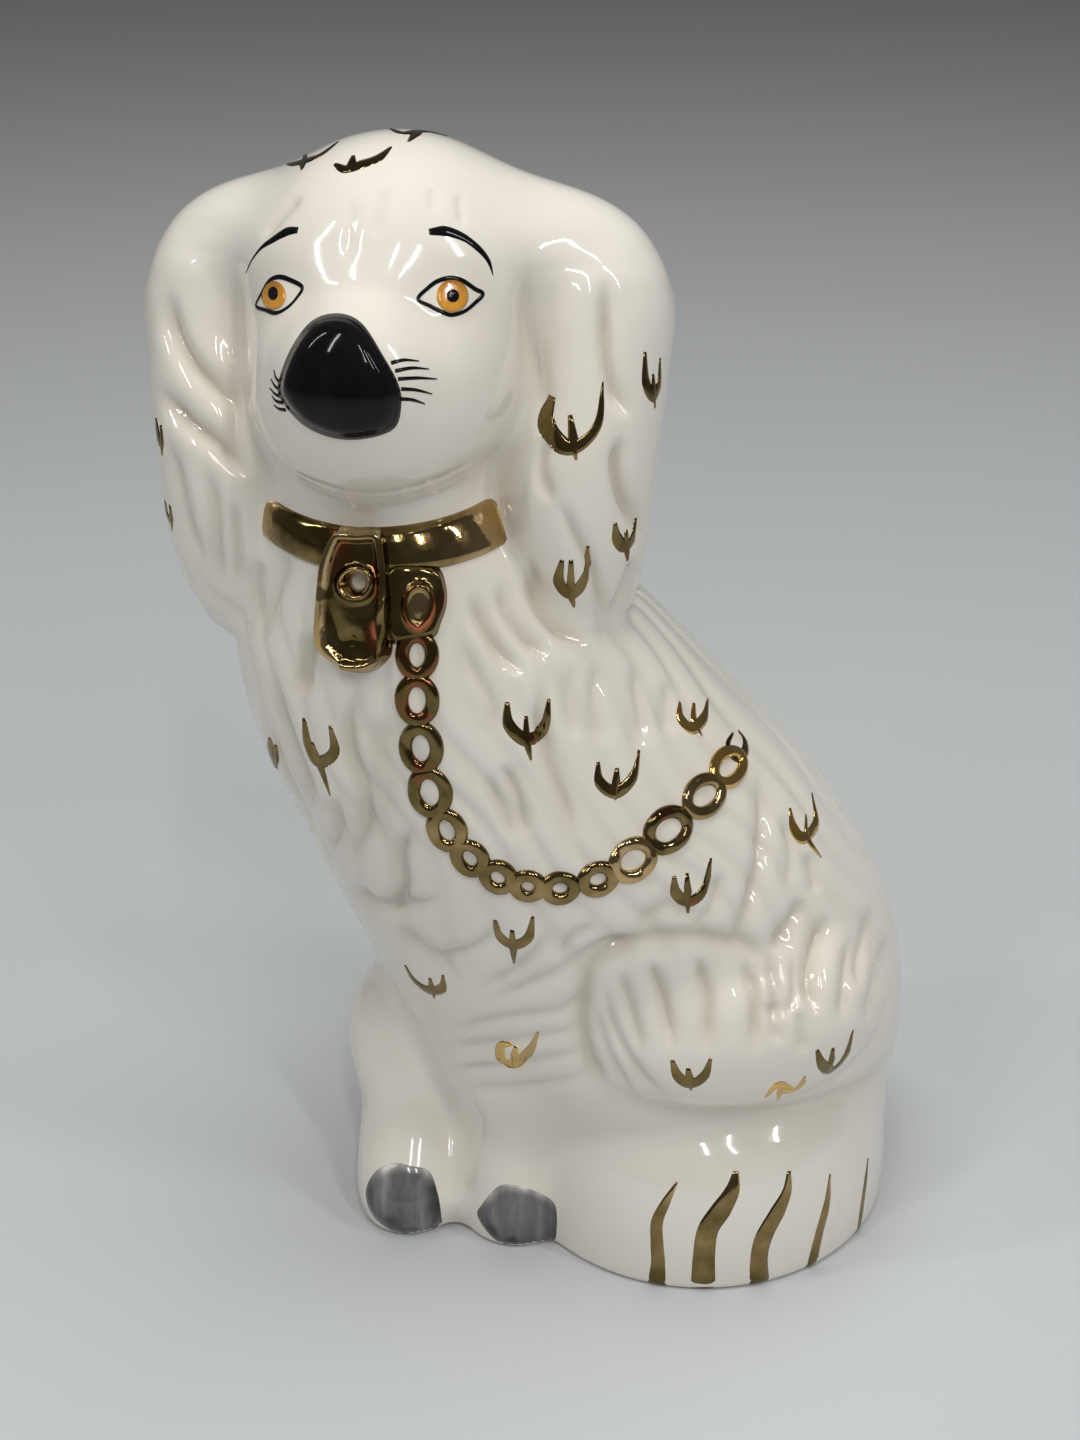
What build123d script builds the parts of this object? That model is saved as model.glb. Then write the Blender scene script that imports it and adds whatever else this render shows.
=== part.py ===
from build123d import *
import os
from math import atan2, cos, degrees, radians, sin

# Seated spaniel mantel ornament in glazed earthenware, with gilding and enamel.
# Millimetres, +Z up, the dog looks along -Y, its left side is +X.
# The origin is on the ground plane, under the middle of the base.

# Clay walls, decoration heights and joint lines
WALL = 4.5
FILM = 0.35
LUTE_GAP = 0.15
BASE_THICKNESS = 6.0
VENT_DIAMETER = 11.0
VENT_X = 18.0
VENT_Y = 2.0

# Trunk: oval sections from the ground to inside the head
# (height, centre x, centre y, half width, half depth, turn in degrees)
TRUNK_SECTIONS = [
    (0.0, 8.0, 3.0, 40.0, 31.0, 12.0),
    (18.0, 7.5, 2.0, 43.5, 35.0, 12.0),
    (40.0, 5.0, -2.5, 48.0, 39.5, 15.0),
    (62.0, -1.0, -6.0, 50.0, 40.0, 20.0),
    (84.0, -10.5, -11.5, 47.8, 39.5, 24.0),
    (104.0, -21.5, -17.0, 43.0, 37.0, 24.0),
    (122.0, -29.5, -21.5, 35.5, 33.0, 18.0),
    (136.0, -34.5, -24.0, 27.0, 28.5, 10.0),
    (148.0, -37.0, -24.0, 22.5, 25.5, 0.0),
    (160.0, -36.0, -26.5, 19.5, 20.0, 0.0),
]
NECK_HEIGHT = 143.0

# Haunches and the low web of clay between the forepaws: centre, radii, turn
HAUNCH_LEFT = ((21.0, -23.0, 50.5), (31.0, 20.5, 20.5), 25.0)
HAUNCH_RIGHT = ((25.0, 20.0, 38.0), (25.0, 17.0, 25.0), -10.0)
PAW_WEB = ((-27.0, -20.0, 5.0), (14.0, 12.0, 11.0), 0.0)

# Head, in its own axes: x to the dog's left, y backwards, z up from its centre
HEAD_X = -34.5
HEAD_Y = -26.0
HEAD_HEIGHT = 176.5
HEAD_TURN = 3.0
SKULL_RADII = (26.0, 27.5, 25.5)
JOWLS = ((0.0, -11.5, -12.5), (21.0, 19.5, 14.0))
MUZZLE = ((0.0, -22.5, -9.5), (15.3, 15.5, 14.5))
NOSE_PAD = ((0.3, -30.5, -4.5), (9.5, 7.5, 9.0))

# Hanging ears, mirrored about the head: oval sections from tip to crown
# (height from head centre, distance out, distance back, half width, half depth)
EAR_SECTIONS = [
    (-59.0, 28.5, -1.0, 2.0, 2.0),
    (-57.0, 28.6, -1.5, 5.5, 5.5),
    (-52.0, 28.8, -2.0, 8.8, 8.8),
    (-43.0, 28.6, -3.0, 11.8, 12.0),
    (-27.0, 28.9, -2.5, 13.2, 15.0),
    (-11.0, 29.9, 1.5, 13.4, 15.5),
    (1.0, 29.2, 5.0, 12.8, 15.0),
]
# Rounded shoulder of the ear and its root on the crown: centre, radii
EAR_SHOULDER = ((26.8, 5.5, -2.8), (16.3, 15.8, 18.2))
EAR_ROOT = ((19.5, 5.5, 6.5), (10.0, 12.0, 11.0))
# The right ear hangs closer to the neck, fully from this height down
EAR_TUCKS = {1: 0.0, -1: 2.4}
TUCKED_HEIGHT = -20.0
# Line inside an ear that the places of its sprays and grooves are measured round
EAR_AXIS_OUT = 29.5
EAR_AXIS_BACK = 2.0

# Forelegs, luted to the chest: (height, centre x, centre y, half width, half depth)
FORELEG_LEFT_SECTIONS = [
    (0.0, -15.2, -28.0, 10.2, 10.6),
    (6.0, -15.5, -28.0, 11.0, 11.5),
    (12.0, -15.4, -26.8, 10.8, 11.8),
    (20.0, -15.2, -25.0, 10.5, 11.8),
    (34.0, -16.5, -25.0, 12.0, 12.8),
    (48.0, -18.0, -22.0, 12.5, 13.0),
    (62.0, -19.0, -14.0, 12.0, 12.0),
]
FORELEG_RIGHT_SECTIONS = [
    (0.0, -35.8, -29.0, 9.4, 10.8),
    (6.0, -35.8, -29.5, 10.2, 12.3),
    (12.0, -36.2, -28.0, 10.0, 12.0),
    (20.0, -37.0, -23.0, 9.8, 11.0),
    (32.0, -38.5, -17.5, 12.0, 12.5),
    (41.0, -37.5, -14.5, 11.0, 11.8),
    (47.0, -35.5, -12.5, 7.5, 8.5),
    (50.0, -34.0, -11.0, 3.5, 4.0),
]

# Tail curled forward round the left haunch: a level ring with an oval section,
# of which the front and left side stand out of the trunk, up to its root
TAIL_RING_X = 15.5
TAIL_RING_Y = -4.5
TAIL_RING_RADIUS = 29.5
TAIL_RING_SQUEEZE = 0.93
TAIL_ROOT_Y = 24.0
TAIL_CENTRE_HEIGHT = 5.5
TAIL_HALF_WIDTH = 9.6
TAIL_HALF_HEIGHT = 24.0

# Main grooves of the moulded hair, clear of the sprays and the chain
GROOVE_RADIUS = 2.6
GROOVE_DEPTH = 1.5
GROOVE_END_LIFT = 0.6
# Routes on the trunk and haunch as (bearing, height) from end to end
TRUNK_GROOVES = [
    [(-32.0, 129.0), (-36.0, 118.0), (-33.0, 104.0), (-37.0, 90.0)],
    [(-9.0, 118.0), (-15.0, 108.0), (-15.0, 97.0), (-11.0, 86.0), (-16.0, 76.0)],
    [(24.0, 120.0), (16.0, 111.0), (13.0, 102.0), (17.0, 94.0)],
    [(45.0, 125.0), (42.0, 115.0), (40.0, 105.0), (36.0, 95.0)],
    [(60.0, 125.0), (65.0, 116.0), (65.0, 106.0)],
    [(72.0, 91.0), (68.0, 81.0), (71.0, 70.0)],
    [(57.0, 84.0), (60.0, 75.0), (57.0, 66.0)],
    [(-30.0, 86.0), (-23.0, 76.0), (-27.0, 65.0)],
    [(17.0, 80.0), (13.0, 72.0), (18.0, 64.0)],
    [(35.0, 65.0), (32.0, 57.0), (34.0, 48.0), (32.0, 41.0)],
    [(67.0, 63.0), (63.0, 54.0), (65.0, 45.0)],
]
# Routes on the ears as (side, points of bearing round the ear and height from head centre)
EAR_GROOVES = [
    (1, [(36.0, 2.0), (31.0, -14.0), (36.0, -30.0), (31.0, -46.0)]),
    (1, [(92.0, 0.0), (87.0, -16.0), (92.0, -32.0)]),
    (-1, [(-18.0, 2.0), (-23.0, -14.0), (-17.0, -30.0), (-21.0, -46.0)]),
    (-1, [(-74.0, 0.0), (-70.0, -16.0), (-75.0, -32.0)]),
]

# Collar, padlock and the hasp plate that the chain hangs from
COLLAR_CENTRE_HEIGHT = 142.0
COLLAR_HEIGHT = 7.0
COLLAR_RELIEF = 1.2
PADLOCK_BEARING = 2.0
PADLOCK_CENTRE_HEIGHT = 135.0
PADLOCK_WIDTH = 13.0
PADLOCK_LENGTH = 24.5
PADLOCK_TOP_WIDTH = 8.5
PADLOCK_RELIEF = 3.6
BOSS_RADIUS = 4.2
BOSS_HOLE_RADIUS = 1.8
BOSS_RELIEF = 1.4
BOSS_RISE = 3.0
HASP_BEARING = 25.0
HASP_CENTRE_HEIGHT = 134.0
HASP_WIDTH = 8.6
HASP_LENGTH = 10.6
HASP_RELIEF = 2.2
HASP_CORNER = 2.0
HASP_SLOT_RADII = (1.8, 2.6)

# Moulded chain in low relief: route as (bearing round the trunk, height)
CHAIN_ROUTE = [
    (17.0, 125.0), (9.0, 116.0), (2.0, 106.0), (-2.0, 95.5), (1.0, 87.5),
    (13.0, 85.0), (30.0, 87.5), (50.0, 93.0), (70.0, 97.0), (87.0, 99.0),
]
CHAIN_LINKS = 15
CHAIN_RELIEF = 1.8
LINK_LENGTH = 6.5
LINK_WIDTH = 5.6
LINK_BAND = 1.5

# Gilt sprays: a cup-shaped stroke crossed by a stem
SPRAY_WIDTH = 6.6
SPRAY_RISE = 3.2
SPRAY_DROP = 3.0
SPRAY_STROKE = 1.3
STEM_TOP = 3.0
STEM_FOOT = 5.2
STEM_WIDTH = 1.2
# Places on the trunk and haunch as (bearing, height)
BODY_SPRAYS = [
    (-43.0, 105.0), (-24.0, 108.0), (34.0, 113.0), (49.0, 103.0), (81.0, 107.0),
    (85.0, 83.5), (46.0, 78.0), (-4.0, 74.5), (-37.0, 58.0), (-19.0, 48.5),
    (23.0, 46.5), (42.0, 43.5), (54.0, 51.0),
]
# Places on the ears as (side, bearing round the ear, height from head centre)
EAR_SPRAYS = [
    (1, 3.0, -16.0), (1, 66.0, -10.0), (1, 64.0, -37.0), (1, 5.0, -40.0),
    (-1, -45.0, -22.0), (-1, -45.0, -37.0),
]
# Places on the crown as (right of centre, in front of centre)
CROWN_SPRAYS = [(7.0, 3.0), (-12.5, 4.0), (-2.5, 10.5)]

# Gilt bands on the tail: bearings round its ring, foot width, height and lean
BAND_BEARINGS = [-4.0, 9.0, 25.0, 42.0, 60.0]
BAND_WIDTH = 3.4
BAND_FOOT = 1.0
BAND_TOP = 21.0
BAND_LEAN = 2.5

# Enamelled face, drawn on the front of the head: right of and above its centre
EYE_X = 13.0
EYE_Z = 5.5
EYE_HALF_WIDTH = 5.2
EYE_HALF_HEIGHT = 2.9
EYE_LINE = 0.8
IRIS_RADIUS = 2.5
PUPIL_RADIUS = 1.1
BROW_INNER = (7.5, 13.2)
BROW_PEAK = (14.0, 15.4)
BROW_OUTER = (20.0, 8.5)
BROW_STROKE = 1.5
NOSE_TOP = 3.5
NOSE_BOTTOM = -12.2
NOSE_HALF_WIDTH = 9.2
NOSE_WIDEST = -5.0
NOSE_SHOULDER = (6.6, -0.8)
NOSE_JOWL = (6.9, -9.6)
WHISKER_COUNT = 5
WHISKER_START = 10.0
WHISKER_LENGTH = 3.6
WHISKER_WIDTH = 0.5
WHISKER_PITCH = 1.7
WHISKER_TOP = -2.0

# Grey wash on the toes
WASH_FOOT = 0.6
WASH_TOP = 12.0
WASH_DEPTH = 6.0
WASH_MARGIN = 1.5

# Reach of the cutters that carry a drawn outline through the surface
CUT_REACH = 7.0
FAR = 400.0


def oval_stack(rows, grow):
    """Smooth solid through level ovals: (height, x, y, half width, half depth, turn)."""
    ovals = []
    for height, x, y, half_width, half_depth, turn in rows:
        ovals.append(Pos(x, y, height) * Rot(0, 0, turn) * Ellipse(half_width + grow, half_depth + grow))
    return loft(ovals)


def ellipsoid(centre, radii, grow):
    grown = tuple(radius + grow for radius in radii)
    return Pos(*centre) * scale(Sphere(1), by=grown)


def above(solid, height):
    return split(solid, bisect_by=Plane.XY.offset(height), keep=Keep.TOP)


def below(solid, height):
    return split(solid, bisect_by=Plane.XY.offset(height), keep=Keep.BOTTOM)


HEAD_PLACE = Pos(HEAD_X, HEAD_Y, HEAD_HEIGHT) * Rot(0, 0, HEAD_TURN)


def trunk_form(grow):
    return oval_stack(TRUNK_SECTIONS, grow)


def swelling(place, grow):
    centre, radii, turn = place
    return Pos(*centre) * Rot(0, 0, turn) * ellipsoid((0, 0, 0), radii, grow)


def hollow_form(grow):
    """Trunk and haunches, which are cast hollow, below the neck joint."""
    form = trunk_form(grow) + swelling(HAUNCH_LEFT, grow) + swelling(HAUNCH_RIGHT, grow)
    return below(form, NECK_HEIGHT)


def body_form(grow):
    """Outer form of trunk, haunches and the solid paw web."""
    return above(hollow_form(grow) + swelling(PAW_WEB, grow), 0)


def head_form(grow):
    """Outer form of neck, skull, jowls and muzzle above the neck joint."""
    form = above(trunk_form(grow), NECK_HEIGHT)
    form += HEAD_PLACE * ellipsoid((0, 0, 0), SKULL_RADII, grow)
    for centre, radii in (JOWLS, MUZZLE, NOSE_PAD):
        form += HEAD_PLACE * ellipsoid(centre, radii, grow)
    return form


def ear_form(side, grow):
    """Outer form of one ear; side is 1 for the dog's left ear and -1 for its right."""
    rows = []
    for height, out, back, half_width, half_depth in EAR_SECTIONS:
        tuck = EAR_TUCKS[side] * min(max(height / TUCKED_HEIGHT, 0), 1)
        rows.append((height, side * (out - tuck), back - tuck, half_width, half_depth, 0))
    form = oval_stack(rows, grow)
    for (out, back, height), radii in (EAR_SHOULDER, EAR_ROOT):
        form += ellipsoid((side * out, back, height), radii, grow)
    return HEAD_PLACE * form


def foreleg_form(sections, grow):
    return oval_stack([row + (0,) for row in sections], grow)


def outward(bearing):
    """Level direction at a bearing measured from the front towards the dog's left."""
    return Vector(sin(radians(bearing)), -cos(radians(bearing)), 0)


def tail_form(grow):
    """Oval rope laid in a ring that is a little narrow from side to side, flat on the ground."""
    section = Plane.XZ * Pos(TAIL_RING_RADIUS, TAIL_CENTRE_HEIGHT)
    rope = revolve(section * Ellipse(TAIL_HALF_WIDTH + grow, TAIL_HALF_HEIGHT + grow), Axis.Z)
    ring = scale(rope, by=(TAIL_RING_SQUEEZE, 1, 1))
    tail = above(Pos(TAIL_RING_X, TAIL_RING_Y, 0) * ring, 0)
    return split(tail, bisect_by=Plane.XZ.offset(-TAIL_ROOT_Y), keep=Keep.TOP)


def trunk_centre(height):
    """Middle of the trunk at one height, between its nearest two sections."""
    for lower, upper in zip(TRUNK_SECTIONS, TRUNK_SECTIONS[1:]):
        if height <= upper[0]:
            share = (height - lower[0]) / (upper[0] - lower[0])
            return [a + (b - a) * share for a, b in zip(lower[1:3], upper[1:3])]
    return TRUNK_SECTIONS[-1][1:3]


def plane_on(form, start, heading, up=Vector(0, 0, 1)):
    """Drawing plane on the first surface met from start, with its y axis upwards."""
    hits = form.find_intersection_points(Axis(start, heading))
    point, normal = min(hits, key=lambda hit: (hit[0] - start).length)
    return Plane(point, x_dir=up.cross(normal), z_dir=normal)


def plane_round_trunk(form, bearing, height):
    """Drawing plane on the body, looking in from a bearing measured from the front."""
    x, y = trunk_centre(height)
    return plane_on(form, Vector(x, y, height) + outward(bearing) * FAR, outward(bearing) * -1)


def plane_round_ear(form, side, bearing, height):
    """Drawing plane on an ear, looking in from a bearing measured from the front."""
    axis_point = (HEAD_PLACE * Pos(side * EAR_AXIS_OUT, EAR_AXIS_BACK, height)).position
    return plane_on(form, axis_point + outward(bearing) * FAR, outward(bearing) * -1)


def groove_cutter(touches):
    """Round cutter along drawing planes on a surface, lifted clear of it at both ends."""
    sunk = GROOVE_RADIUS - GROOVE_DEPTH
    clear = GROOVE_RADIUS + GROOVE_END_LIFT
    lifts = [clear] + [sunk] * (len(touches) - 2) + [clear]
    path = Spline(*[touch.origin + touch.z_dir * lift for touch, lift in zip(touches, lifts)])
    return sweep(Plane(path @ 0, z_dir=path % 0) * Circle(GROOVE_RADIUS), path)


def carried(plane, outline):
    """Cutter that carries an outline through the surface around a drawing plane."""
    return extrude(plane * outline, CUT_REACH, both=True)


def relief(cutters, skin):
    """The parts of a skin that lie inside the cutters, as separate solids."""
    pieces = []
    for cutter in cutters:
        pieces += (skin & cutter).solids()
    return Compound(children=pieces)


def spray_outline():
    half = SPRAY_WIDTH / 2
    cup = make_face([
        ThreePointArc((-half, SPRAY_RISE), (0, -SPRAY_DROP), (half, SPRAY_RISE)),
        ThreePointArc((half, SPRAY_RISE), (0, SPRAY_STROKE - SPRAY_DROP), (-half, SPRAY_RISE)),
    ])
    middle = (STEM_TOP - STEM_FOOT) / 2
    stem = make_face([
        ThreePointArc((0, -STEM_FOOT), (STEM_WIDTH / 2, middle), (0, STEM_TOP)),
        ThreePointArc((0, STEM_TOP), (-STEM_WIDTH / 2, middle), (0, -STEM_FOOT)),
    ])
    return cup + stem


def eye_opening(margin):
    """Almond drawn inside the eye's outline by a margin."""
    half_width = EYE_HALF_WIDTH - margin
    half_height = EYE_HALF_HEIGHT - margin
    return make_face([
        ThreePointArc((-half_width, 0), (0, half_height), (half_width, 0)),
        ThreePointArc((half_width, 0), (0, -half_height), (-half_width, 0)),
    ])


def brow_outline(side):
    """Brush stroke over one eye, pointed at its ends."""
    inner = (side * BROW_INNER[0], BROW_INNER[1])
    outer = (side * BROW_OUTER[0], BROW_OUTER[1])
    crest = (side * BROW_PEAK[0], BROW_PEAK[1])
    underside = (side * BROW_PEAK[0], BROW_PEAK[1] - BROW_STROKE)
    return make_face([ThreePointArc(inner, crest, outer), ThreePointArc(outer, underside, inner)])


def nose_outline():
    """Blunt triangle of the nose, narrow at the top."""
    right = [NOSE_SHOULDER, (NOSE_HALF_WIDTH, NOSE_WIDEST), NOSE_JOWL]
    left = [(-x, z) for x, z in reversed(right)]
    return make_face(Spline((0, NOSE_TOP), *right, (0, NOSE_BOTTOM), *left, periodic=True))


def padlock_outline():
    """Shield with a narrow top under the collar and a round foot."""
    top = PADLOCK_LENGTH / 2
    foot = PADLOCK_WIDTH / 2 - PADLOCK_LENGTH / 2
    shoulder = top - PADLOCK_LENGTH / 3
    return make_face([
        Polyline((-PADLOCK_WIDTH / 2, foot), (-PADLOCK_WIDTH / 2, shoulder), (-PADLOCK_TOP_WIDTH / 2, top),
                 (PADLOCK_TOP_WIDTH / 2, top), (PADLOCK_WIDTH / 2, shoulder), (PADLOCK_WIDTH / 2, foot)),
        ThreePointArc((PADLOCK_WIDTH / 2, foot), (0, -PADLOCK_LENGTH / 2), (-PADLOCK_WIDTH / 2, foot)),
    ])


def face_cutter(outline):
    """Cutter that carries an outline forwards from the middle of the head."""
    return HEAD_PLACE * extrude(Plane.XZ * outline, FAR)


def eye_pair(outline):
    return [face_cutter(Pos(side * EYE_X, EYE_Z) * outline) for side in (-1, 1)]


def shell_halves(form, cavity, seam):
    """Front and back pressings of a hollow form, parted along a seam plane."""
    shell = form - cavity
    front = split(shell, bisect_by=seam, keep=Keep.BOTTOM)
    back = split(shell, bisect_by=seam, keep=Keep.TOP)
    return front, back


# Forms that the pieces share
body = body_form(0)
body_skin = body_form(FILM) - body
head = head_form(0)
head_skin = head_form(FILM) - head
trunk = trunk_form(0)

pieces = {}

# Trunk and head, each pressed in a front and a back mould
neck_back = trunk_centre(NECK_HEIGHT)[1]
seam_lean = Vector(0, NECK_HEIGHT, -neck_back)
trunk_seam = Plane((0, 0, 0), x_dir=(1, 0, 0), z_dir=seam_lean)
head_seam = Plane((HEAD_X, neck_back, HEAD_HEIGHT), x_dir=(1, 0, 0), z_dir=(0, 1, 0))
pieces["trunk_front"], pieces["trunk_back"] = shell_halves(body, hollow_form(-WALL), trunk_seam)
pieces["head_face"], pieces["head_back"] = shell_halves(head, head_form(-WALL), head_seam)

for route in TRUNK_GROOVES:
    pieces["trunk_front"] -= groove_cutter([plane_round_trunk(body, *place) for place in route])

# Slab that closes the base, with its vent hole
slab = below(trunk_form(-WALL - LUTE_GAP), BASE_THICKNESS)
pieces["base_slab"] = slab - Pos(VENT_X, VENT_Y, 0) * Cylinder(VENT_DIAMETER / 2, FAR)

# Collar, round the neck joint and under the ears
collar_band = trunk_form(COLLAR_RELIEF) - trunk
collar_band = above(collar_band, COLLAR_CENTRE_HEIGHT - COLLAR_HEIGHT / 2)
collar = below(collar_band, COLLAR_CENTRE_HEIGHT + COLLAR_HEIGHT / 2)
pieces["collar"] = collar

# Ears
ears = {1: ear_form(1, 0), -1: ear_form(-1, 0)}
for name, side in (("ear_left", 1), ("ear_right", -1)):
    pieces[name] = ears[side] - head - body - collar
    for groove_side, route in EAR_GROOVES:
        if groove_side == side:
            pieces[name] -= groove_cutter([plane_round_ear(ears[side], side, *place) for place in route])

# Forelegs and tail
foreleg_left = foreleg_form(FORELEG_LEFT_SECTIONS, 0)
foreleg_right = foreleg_form(FORELEG_RIGHT_SECTIONS, 0)
pieces["foreleg_left"] = foreleg_left - body
pieces["foreleg_right"] = foreleg_right - body
tail = tail_form(0)
pieces["tail"] = tail - body - foreleg_left - foreleg_right

# Padlock with its raised keyhole boss
padlock_plane = plane_round_trunk(trunk, PADLOCK_BEARING, PADLOCK_CENTRE_HEIGHT)
padlock = carried(padlock_plane, padlock_outline()) & (trunk_form(PADLOCK_RELIEF) - trunk)
boss = extrude(Circle(BOSS_RADIUS), PADLOCK_RELIEF + BOSS_RELIEF)
boss -= extrude(Circle(BOSS_HOLE_RADIUS), FAR)
boss_place = padlock_plane * Pos(0, BOSS_RISE, 0)
padlock = padlock - boss_place * Cylinder(BOSS_HOLE_RADIUS, FAR) + boss_place * boss - trunk
pieces["padlock"] = padlock - collar

# Hasp plate beside the padlock
hasp_plane = plane_round_trunk(trunk, HASP_BEARING, HASP_CENTRE_HEIGHT)
hasp_outline = RectangleRounded(HASP_WIDTH, HASP_LENGTH, HASP_CORNER) - Ellipse(*HASP_SLOT_RADII)
hasp = carried(hasp_plane, hasp_outline) & (trunk_form(HASP_RELIEF) - trunk)
pieces["chain_hasp"] = hasp - collar - pieces["padlock"]

# Chain links, stepped along the route
route_points = [plane_round_trunk(trunk, bearing, height).origin for bearing, height in CHAIN_ROUTE]
chain_path = Spline(*route_points)
link_outline = Ellipse(LINK_LENGTH / 2, LINK_WIDTH / 2)
link_outline -= Ellipse(LINK_LENGTH / 2 - LINK_BAND, LINK_WIDTH / 2 - LINK_BAND)
links = []
for i in range(CHAIN_LINKS):
    place = i / (CHAIN_LINKS - 1)
    spot = chain_path @ place
    x, y = trunk_centre(spot.Z)
    bearing = degrees(atan2(spot.X - x, y - spot.Y))
    touch = plane_round_trunk(trunk, bearing, spot.Z)
    along = Plane(touch.origin, x_dir=chain_path % place, z_dir=touch.z_dir)
    links.append(extrude(along * link_outline, CHAIN_RELIEF))
pieces["chain_links"] = Compound(children=links)

# Gilt sprays on the body, the ears and the crown
spray = spray_outline()
body_cutters = [carried(plane_round_trunk(body, *place), spray) for place in BODY_SPRAYS]
pieces["gilt_sprays_body"] = relief(body_cutters, body_skin)

ear_sprays = []
for side in (1, -1):
    cutters = []
    for spray_side, bearing, height in EAR_SPRAYS:
        if spray_side == side:
            cutters.append(carried(plane_round_ear(ears[side], side, bearing, height), spray))
    ear_sprays += relief(cutters, ear_form(side, FILM) - ears[side]).children
pieces["gilt_sprays_ears"] = Compound(children=ear_sprays)

crown_cutters = []
for right, front in CROWN_SPRAYS:
    touch = plane_on(head, Vector(HEAD_X + right, HEAD_Y - front, FAR), Vector(0, 0, -1), up=Vector(0, 1, 0))
    crown_cutters.append(carried(touch, spray))
pieces["gilt_sprays_crown"] = relief(crown_cutters, head_skin)

# Gilt bands on the tail, pointed at the top
band_outline = make_face(Polyline(
    (-BAND_WIDTH / 2, BAND_FOOT), (BAND_WIDTH / 2, BAND_FOOT), (BAND_LEAN, BAND_TOP), close=True))
ring_centre = Vector(TAIL_RING_X, TAIL_RING_Y, 0)
band_cutters = []
for bearing in BAND_BEARINGS:
    middle = ring_centre + outward(bearing) * TAIL_RING_RADIUS
    drawing = Plane(middle, x_dir=outward(bearing + 90), z_dir=outward(bearing))
    band_cutters.append(extrude(drawing * band_outline, TAIL_HALF_WIDTH * 2))
pieces["gilt_tail_bands"] = relief(band_cutters, tail_form(FILM) - tail)

# Enamelled face
opening = eye_opening(EYE_LINE)
pupil = Circle(PUPIL_RADIUS)
pieces["eye_outlines"] = relief(eye_pair(eye_opening(0) - opening), head_skin)
pieces["irises"] = relief(eye_pair((Circle(IRIS_RADIUS) & opening) - pupil), head_skin)
pieces["pupils"] = relief(eye_pair(pupil), head_skin)
pieces["brows"] = relief([face_cutter(brow_outline(side)) for side in (-1, 1)], head_skin)
pieces["nose_enamel"] = relief([face_cutter(nose_outline())], head_skin)

whisker_cutters = []
for i in range(WHISKER_COUNT):
    for side in (-1, 1):
        stroke = Pos(side * (WHISKER_START + WHISKER_LENGTH / 2), WHISKER_TOP - i * WHISKER_PITCH)
        whisker_cutters.append(face_cutter(stroke * Rectangle(WHISKER_LENGTH, WHISKER_WIDTH)))
pieces["whiskers"] = relief(whisker_cutters, head_skin)

# Grey wash on the toes of each forepaw
washes = []
for sections, leg in ((FORELEG_LEFT_SECTIONS, foreleg_left), (FORELEG_RIGHT_SECTIONS, foreleg_right)):
    _, toe_x, toe_y, toe_half_width, toe_half_depth = sections[1]
    wash_box = Box(2 * (toe_half_width - WASH_MARGIN), WASH_DEPTH * 2, WASH_TOP - WASH_FOOT)
    wash_place = Pos(toe_x, toe_y - toe_half_depth, (WASH_TOP + WASH_FOOT) / 2)
    washes += relief([wash_place * wash_box], foreleg_form(sections, FILM) - leg - tail).children
pieces["paw_washes"] = Compound(children=washes)

os.makedirs("parts", exist_ok=True)
for name, piece in pieces.items():
    export_step(piece, f"parts/{name}.step")
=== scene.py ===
import math

import bpy
import numpy as np
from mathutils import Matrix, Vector
from mathutils.bvhtree import BVHTree

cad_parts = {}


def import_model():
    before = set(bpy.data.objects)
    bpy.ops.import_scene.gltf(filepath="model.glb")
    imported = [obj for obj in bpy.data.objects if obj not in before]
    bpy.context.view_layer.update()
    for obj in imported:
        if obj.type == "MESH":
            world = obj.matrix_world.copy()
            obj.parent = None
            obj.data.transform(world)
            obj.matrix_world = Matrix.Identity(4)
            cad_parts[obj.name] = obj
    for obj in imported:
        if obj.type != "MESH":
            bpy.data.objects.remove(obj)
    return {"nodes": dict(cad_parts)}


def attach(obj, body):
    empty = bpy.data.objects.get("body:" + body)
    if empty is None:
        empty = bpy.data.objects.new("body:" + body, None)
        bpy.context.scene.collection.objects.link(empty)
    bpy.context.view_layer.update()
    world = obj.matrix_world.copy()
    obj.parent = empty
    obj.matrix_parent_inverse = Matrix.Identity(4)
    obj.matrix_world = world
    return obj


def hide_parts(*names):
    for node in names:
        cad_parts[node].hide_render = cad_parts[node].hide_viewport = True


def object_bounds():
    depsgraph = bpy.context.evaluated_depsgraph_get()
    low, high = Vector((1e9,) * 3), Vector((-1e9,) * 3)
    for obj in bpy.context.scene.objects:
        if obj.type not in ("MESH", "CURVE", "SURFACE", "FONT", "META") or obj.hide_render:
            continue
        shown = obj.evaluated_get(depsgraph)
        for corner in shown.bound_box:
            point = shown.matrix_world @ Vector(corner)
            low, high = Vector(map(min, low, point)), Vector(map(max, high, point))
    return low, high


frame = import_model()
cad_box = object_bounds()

# Seated spaniel mantel ornament in white glaze, with gilding and enamel.
# Forms are worked out in millimetres in the CAD frame, and become metres when a mesh is made.
# The body is one carved skin. Everything painted or gilded is a thin closed piece laid on it.
MM = 0.001
CELL = 0.6

# The photograph and the camera fitted to it: pixels, degrees and millimetres
PHOTO_WIDTH = 1080
PHOTO_HEIGHT = 1440
FOCAL_PIXELS = 2163
CAMERA_BEARING = 13
CAMERA_DIP = 25
CAMERA_DISTANCE = 360
CAMERA_HEIGHT = 261
CAMERA_SIDE = -17

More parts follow.
